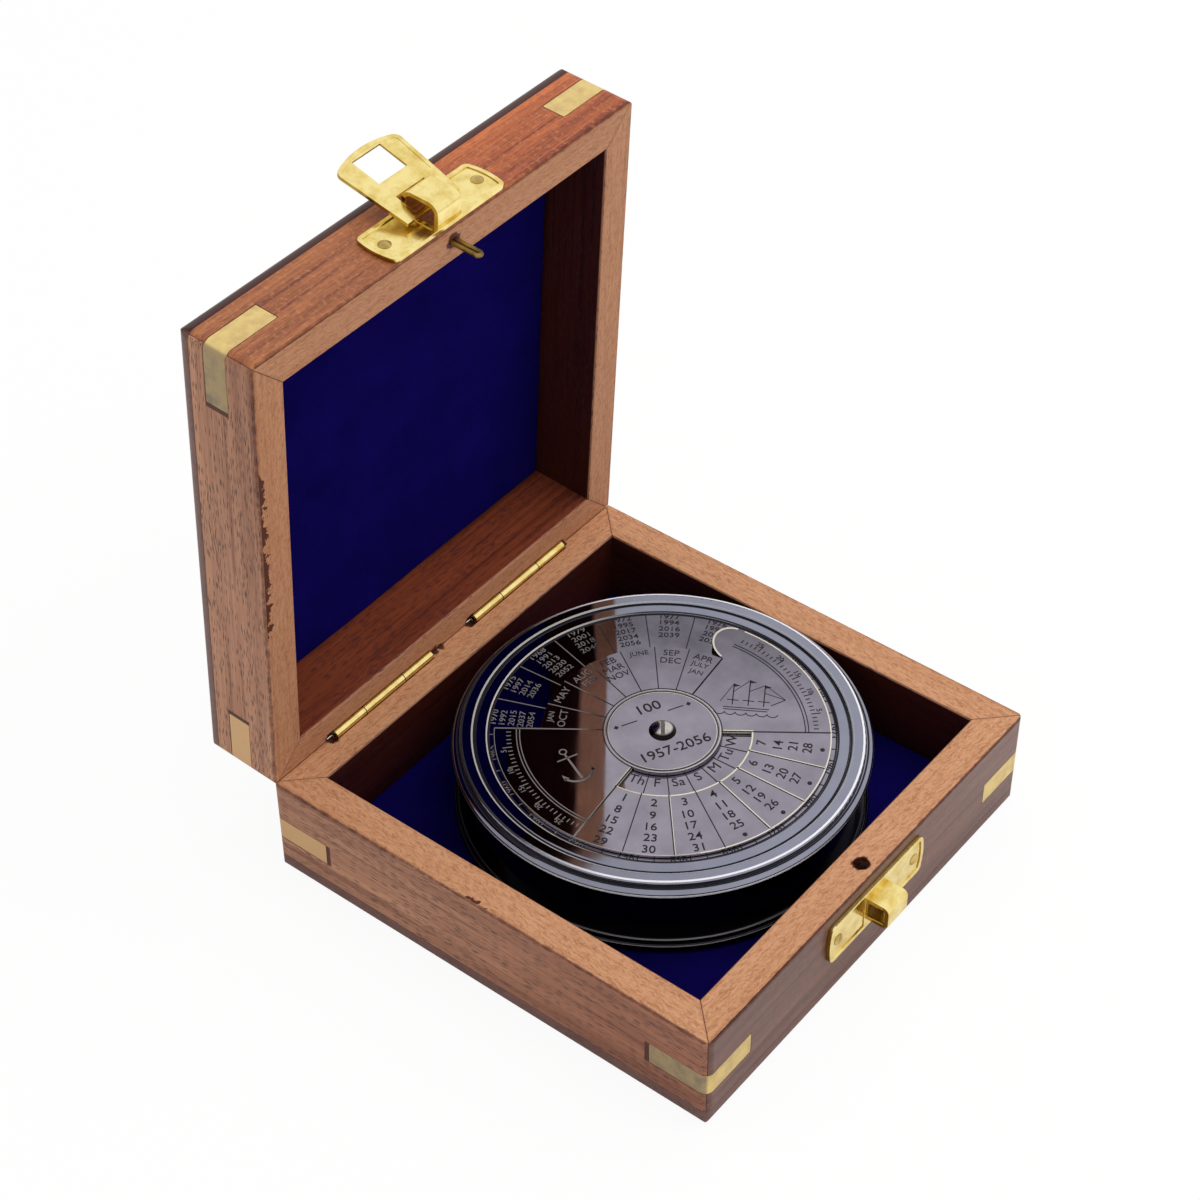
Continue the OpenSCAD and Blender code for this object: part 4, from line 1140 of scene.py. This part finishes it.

# %% [markdown]
# Beside the etched lines run hair lines of painted glints, the lit walls of the cuts, brighter towards the
# front: round the weekday window, along the dates' dividing lines, round the hub and at the disc's own edge.
# The finger tab gets a painted highlight along its whole edge, and so do the cut sides of the weekday window.

# %% Painted glints on the turning disc
HAIR = 0.09
WIDE_GLINT = 0.3
HUB_GLINT = (0.3, 0.98)
DIVIDER_GLINT = {2: 0.1, 4: 0.22, 5: 0.2, 6: 0.18}
# Painted glints: pale hair lines beside the etched ones, brighter towards the front
hair_glint_paint = matte("hair_glint_paint", "#8F887C", "#DDD5C4", 2, 16)
glint_widens_at = DATES_START + 2.5 * COLUMN
bm = bmesh.new()
for column, width in DIVIDER_GLINT.items():
    stroke(bm, (DAY_WINDOW_R, LINE), (PLATE_R, LINE), width, polar(DATES_START + column * COLUMN, 0))
ring(bm, DAY_WINDOW_R + 0.24, WIDE_GLINT, DATES_START, dates_end)
for angle, step in ((DATES_START, -LINE), (dates_end, LINE)):
    stroke(bm, (HUB_R + 0.2, step), (DAY_WINDOW_R + 0.4, step), WIDE_GLINT, polar(angle, 0))
stroke(bm, (DAY_WINDOW_R, -LINE), (PLATE_R, -LINE), HAIR, polar(DATES_START, 0))
for inset in HUB_GLINT:
    ring(bm, HUB_R - inset, HAIR)
ring(bm, PLATE_R + 0.02, HAIR, MONTHS_START, glint_widens_at)
ring(bm, PLATE_R + 0.02, WIDE_GLINT * 0.8, glint_widens_at, MONTHS_START + 14 * COLUMN)
engrave(bm, "month_painted_glints", month_top, "month_disc", hair_glint_paint)

# %% Painted highlights on the finger tab and the weekday window
TAB_MID = 27.05
TAB_R = 4.35
TAB_BEND = math.radians(14)
TAB_EDGE = (TAB_R - 0.2, 0.36, 20, 172)
PROUD = 0.02
# Painted highlight: a pale edge round the tab and on the cut sides of the weekday window
painted_edge_highlight = matte("painted_edge_highlight", "#D9D3C6", "#C4BCAA", -30, 30)
up = Matrix.Translation((0, 0, MONTH_DISC_T))
tab = polar(months_end, TAB_MID) @ up.inverted() @ Matrix.Rotation(TAB_BEND, 4, "X") @ up
bm = bmesh.new()
ring_at(bm, tab, *TAB_EDGE)
upright = Matrix.Rotation(math.radians(90), 4, "X")
for angle, step in ((DATES_START, PROUD), (dates_end, -PROUD)):
    wall = polar(angle, (HUB_R + DAY_WINDOW_R) / 2) @ Matrix.Translation((0, step, -MONTH_DISC_T / 2))
    strip(bm, DAY_WINDOW_R - HUB_R - LINE, MONTH_DISC_T * 0.9, wall @ upright)
engrave(bm, "tab_edge", month_top, "month_disc", painted_edge_highlight)

# %% [markdown]
# ## Rim of the cover
#
# The lips of the groove and of the recess, the crest, the bead's lower edge and the beads of the foot get
# painted highlights: thin matte rings, bright on the side that mirrors the tent and dark where it mirrors the
# lid or lies in shade. The rim's corners are painted black as painted shade.

# %% Painted highlights on the lips and painted shade in the corners of the rim
GROOVE_LIP = [(35.38, -0.2), (35.57, -0.02), (35.68, 0)]
RECESS_LIP = [(32.68, -0.38), (32.85, -0.22), (32.92, -0.2)]
CREST = [(37.28, 0.02), (37.45, 0.02), (37.66, -0.05)]
BEAD_EDGE = [(39.22, -2.36), (39.3, -2), (39.28, -1.86)]
CORNER = [(37.9, -0.9), (37.93, -1.22), (38.2, -1.12), (38.5, -1.1)]
GROOVE_FLOOR = [(34.9, -0.58), (35.3, -0.58)]
RECESS_CORNER = [(32.2, -0.54), (32.5, -0.54)]
UPPER_BEAD = [(38.42, 2.89), (38.53, 2.81), (38.62, 2.71)]
FOOT_BEAD = [(38.98, 1.59), (39.09, 1.48)]
RIM_TOP = 25.2
# Painted shade: black in the rim's corner, on the groove's floor and in the recess corner
painted_corner_shade = matte("painted_corner_shade", "#17141A", "#100E13", -30, 30)
# Painted highlights on the lips, crest and bead, dark on the side that faces the lid
LIPS = {
    "groove_lip": (GROOVE_LIP, matte("painted_lip_highlight", "#AAA59E", "#A0A2AA", 0, 20)),
    "recess_lip": (RECESS_LIP, matte("recess_lip", "#BDB4AA", "#262328", 6, 22)),
    "rim_crest": (CREST, matte("bright_crest", "#1E1C22", "#E8E6EA", 12, 28)),
    "bead_edge": (BEAD_EDGE, matte("bright_bead", "#2B2930", "#E0DEE4", -32, -18, SHADE_TO_BACK[0])),
    "rim_corner": (CORNER, painted_corner_shade),
    "recess_corner": (RECESS_CORNER, painted_corner_shade),
    "groove_floor": (GROOVE_FLOOR, painted_corner_shade),
}
for name, (profile, finish) in LIPS.items():
    bm = bmesh.new()
    sweep(bm, profile)
    engrave(bm, name, RIM_TOP * MM, "cover", finish)
bm = bmesh.new()
for profile in (UPPER_BEAD, FOOT_BEAD):
    sweep(bm, profile)
# Painted highlight on the beads of the foot, bright at the front and dark to the back
foot_line = matte("painted_foot_highlight", "#17151A", "#87817F", -36, -22, SHADE_TO_BACK[0])
engrave(bm, "foot_lines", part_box("compass_case")[0].z, "compass", foot_line)

# %% [markdown]
# ## Compass rose
#
# The printed card under the glass has what such cards have: an eight-pointed star, degree ticks and the
# four letters.

# %% Print the compass card
CARD_R = 31
SCALE_W = 3.4
CARD_LINES = {CARD_R: 0.3, CARD_R - SCALE_W: 0.2}
TICK_LINE = 0.25
TICK_W = 1.6
POINT_ROOT = (3.4, 0)
POINT_SIDE = (3.2, 1.35)
LONG_POINT = 20
SHORT_POINT = 13
LETTER_R = 23.6
LETTER_H = 3.6
bm = bmesh.new()
for radius, width in CARD_LINES.items():
    ring(bm, radius, width)
for degree in range(0, 360, 5):
    spoke(bm, degree, CARD_R - (SCALE_W if degree % 30 == 0 else TICK_W), CARD_R, TICK_LINE)
for point in range(8):
    reach = SHORT_POINT if point % 2 else LONG_POINT
    figure(bm, [POINT_ROOT, (reach, 0), POINT_SIDE], polar(45 * point, 0))
words(bm, [(letter, LETTER_H, 1, polar(90 - 90 * i, LETTER_R, -90)) for i, letter in enumerate("NESW")])
engrave(bm, "compass_rose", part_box("compass_card")[1].z, "compass", ink)

# %% [markdown]
# ## Size at the end
#
# The bounds of the dressed object are set against those of the imported one and the growth is printed, so a
# piece that grew out of its box shows at once.

# %% Measure and finish
seen_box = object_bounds()
grown = [round((b - a) / MM, 2) for old, new in zip(cad_box, seen_box) for a, b in zip(old, new)]
print("grew by", grown, "mm")
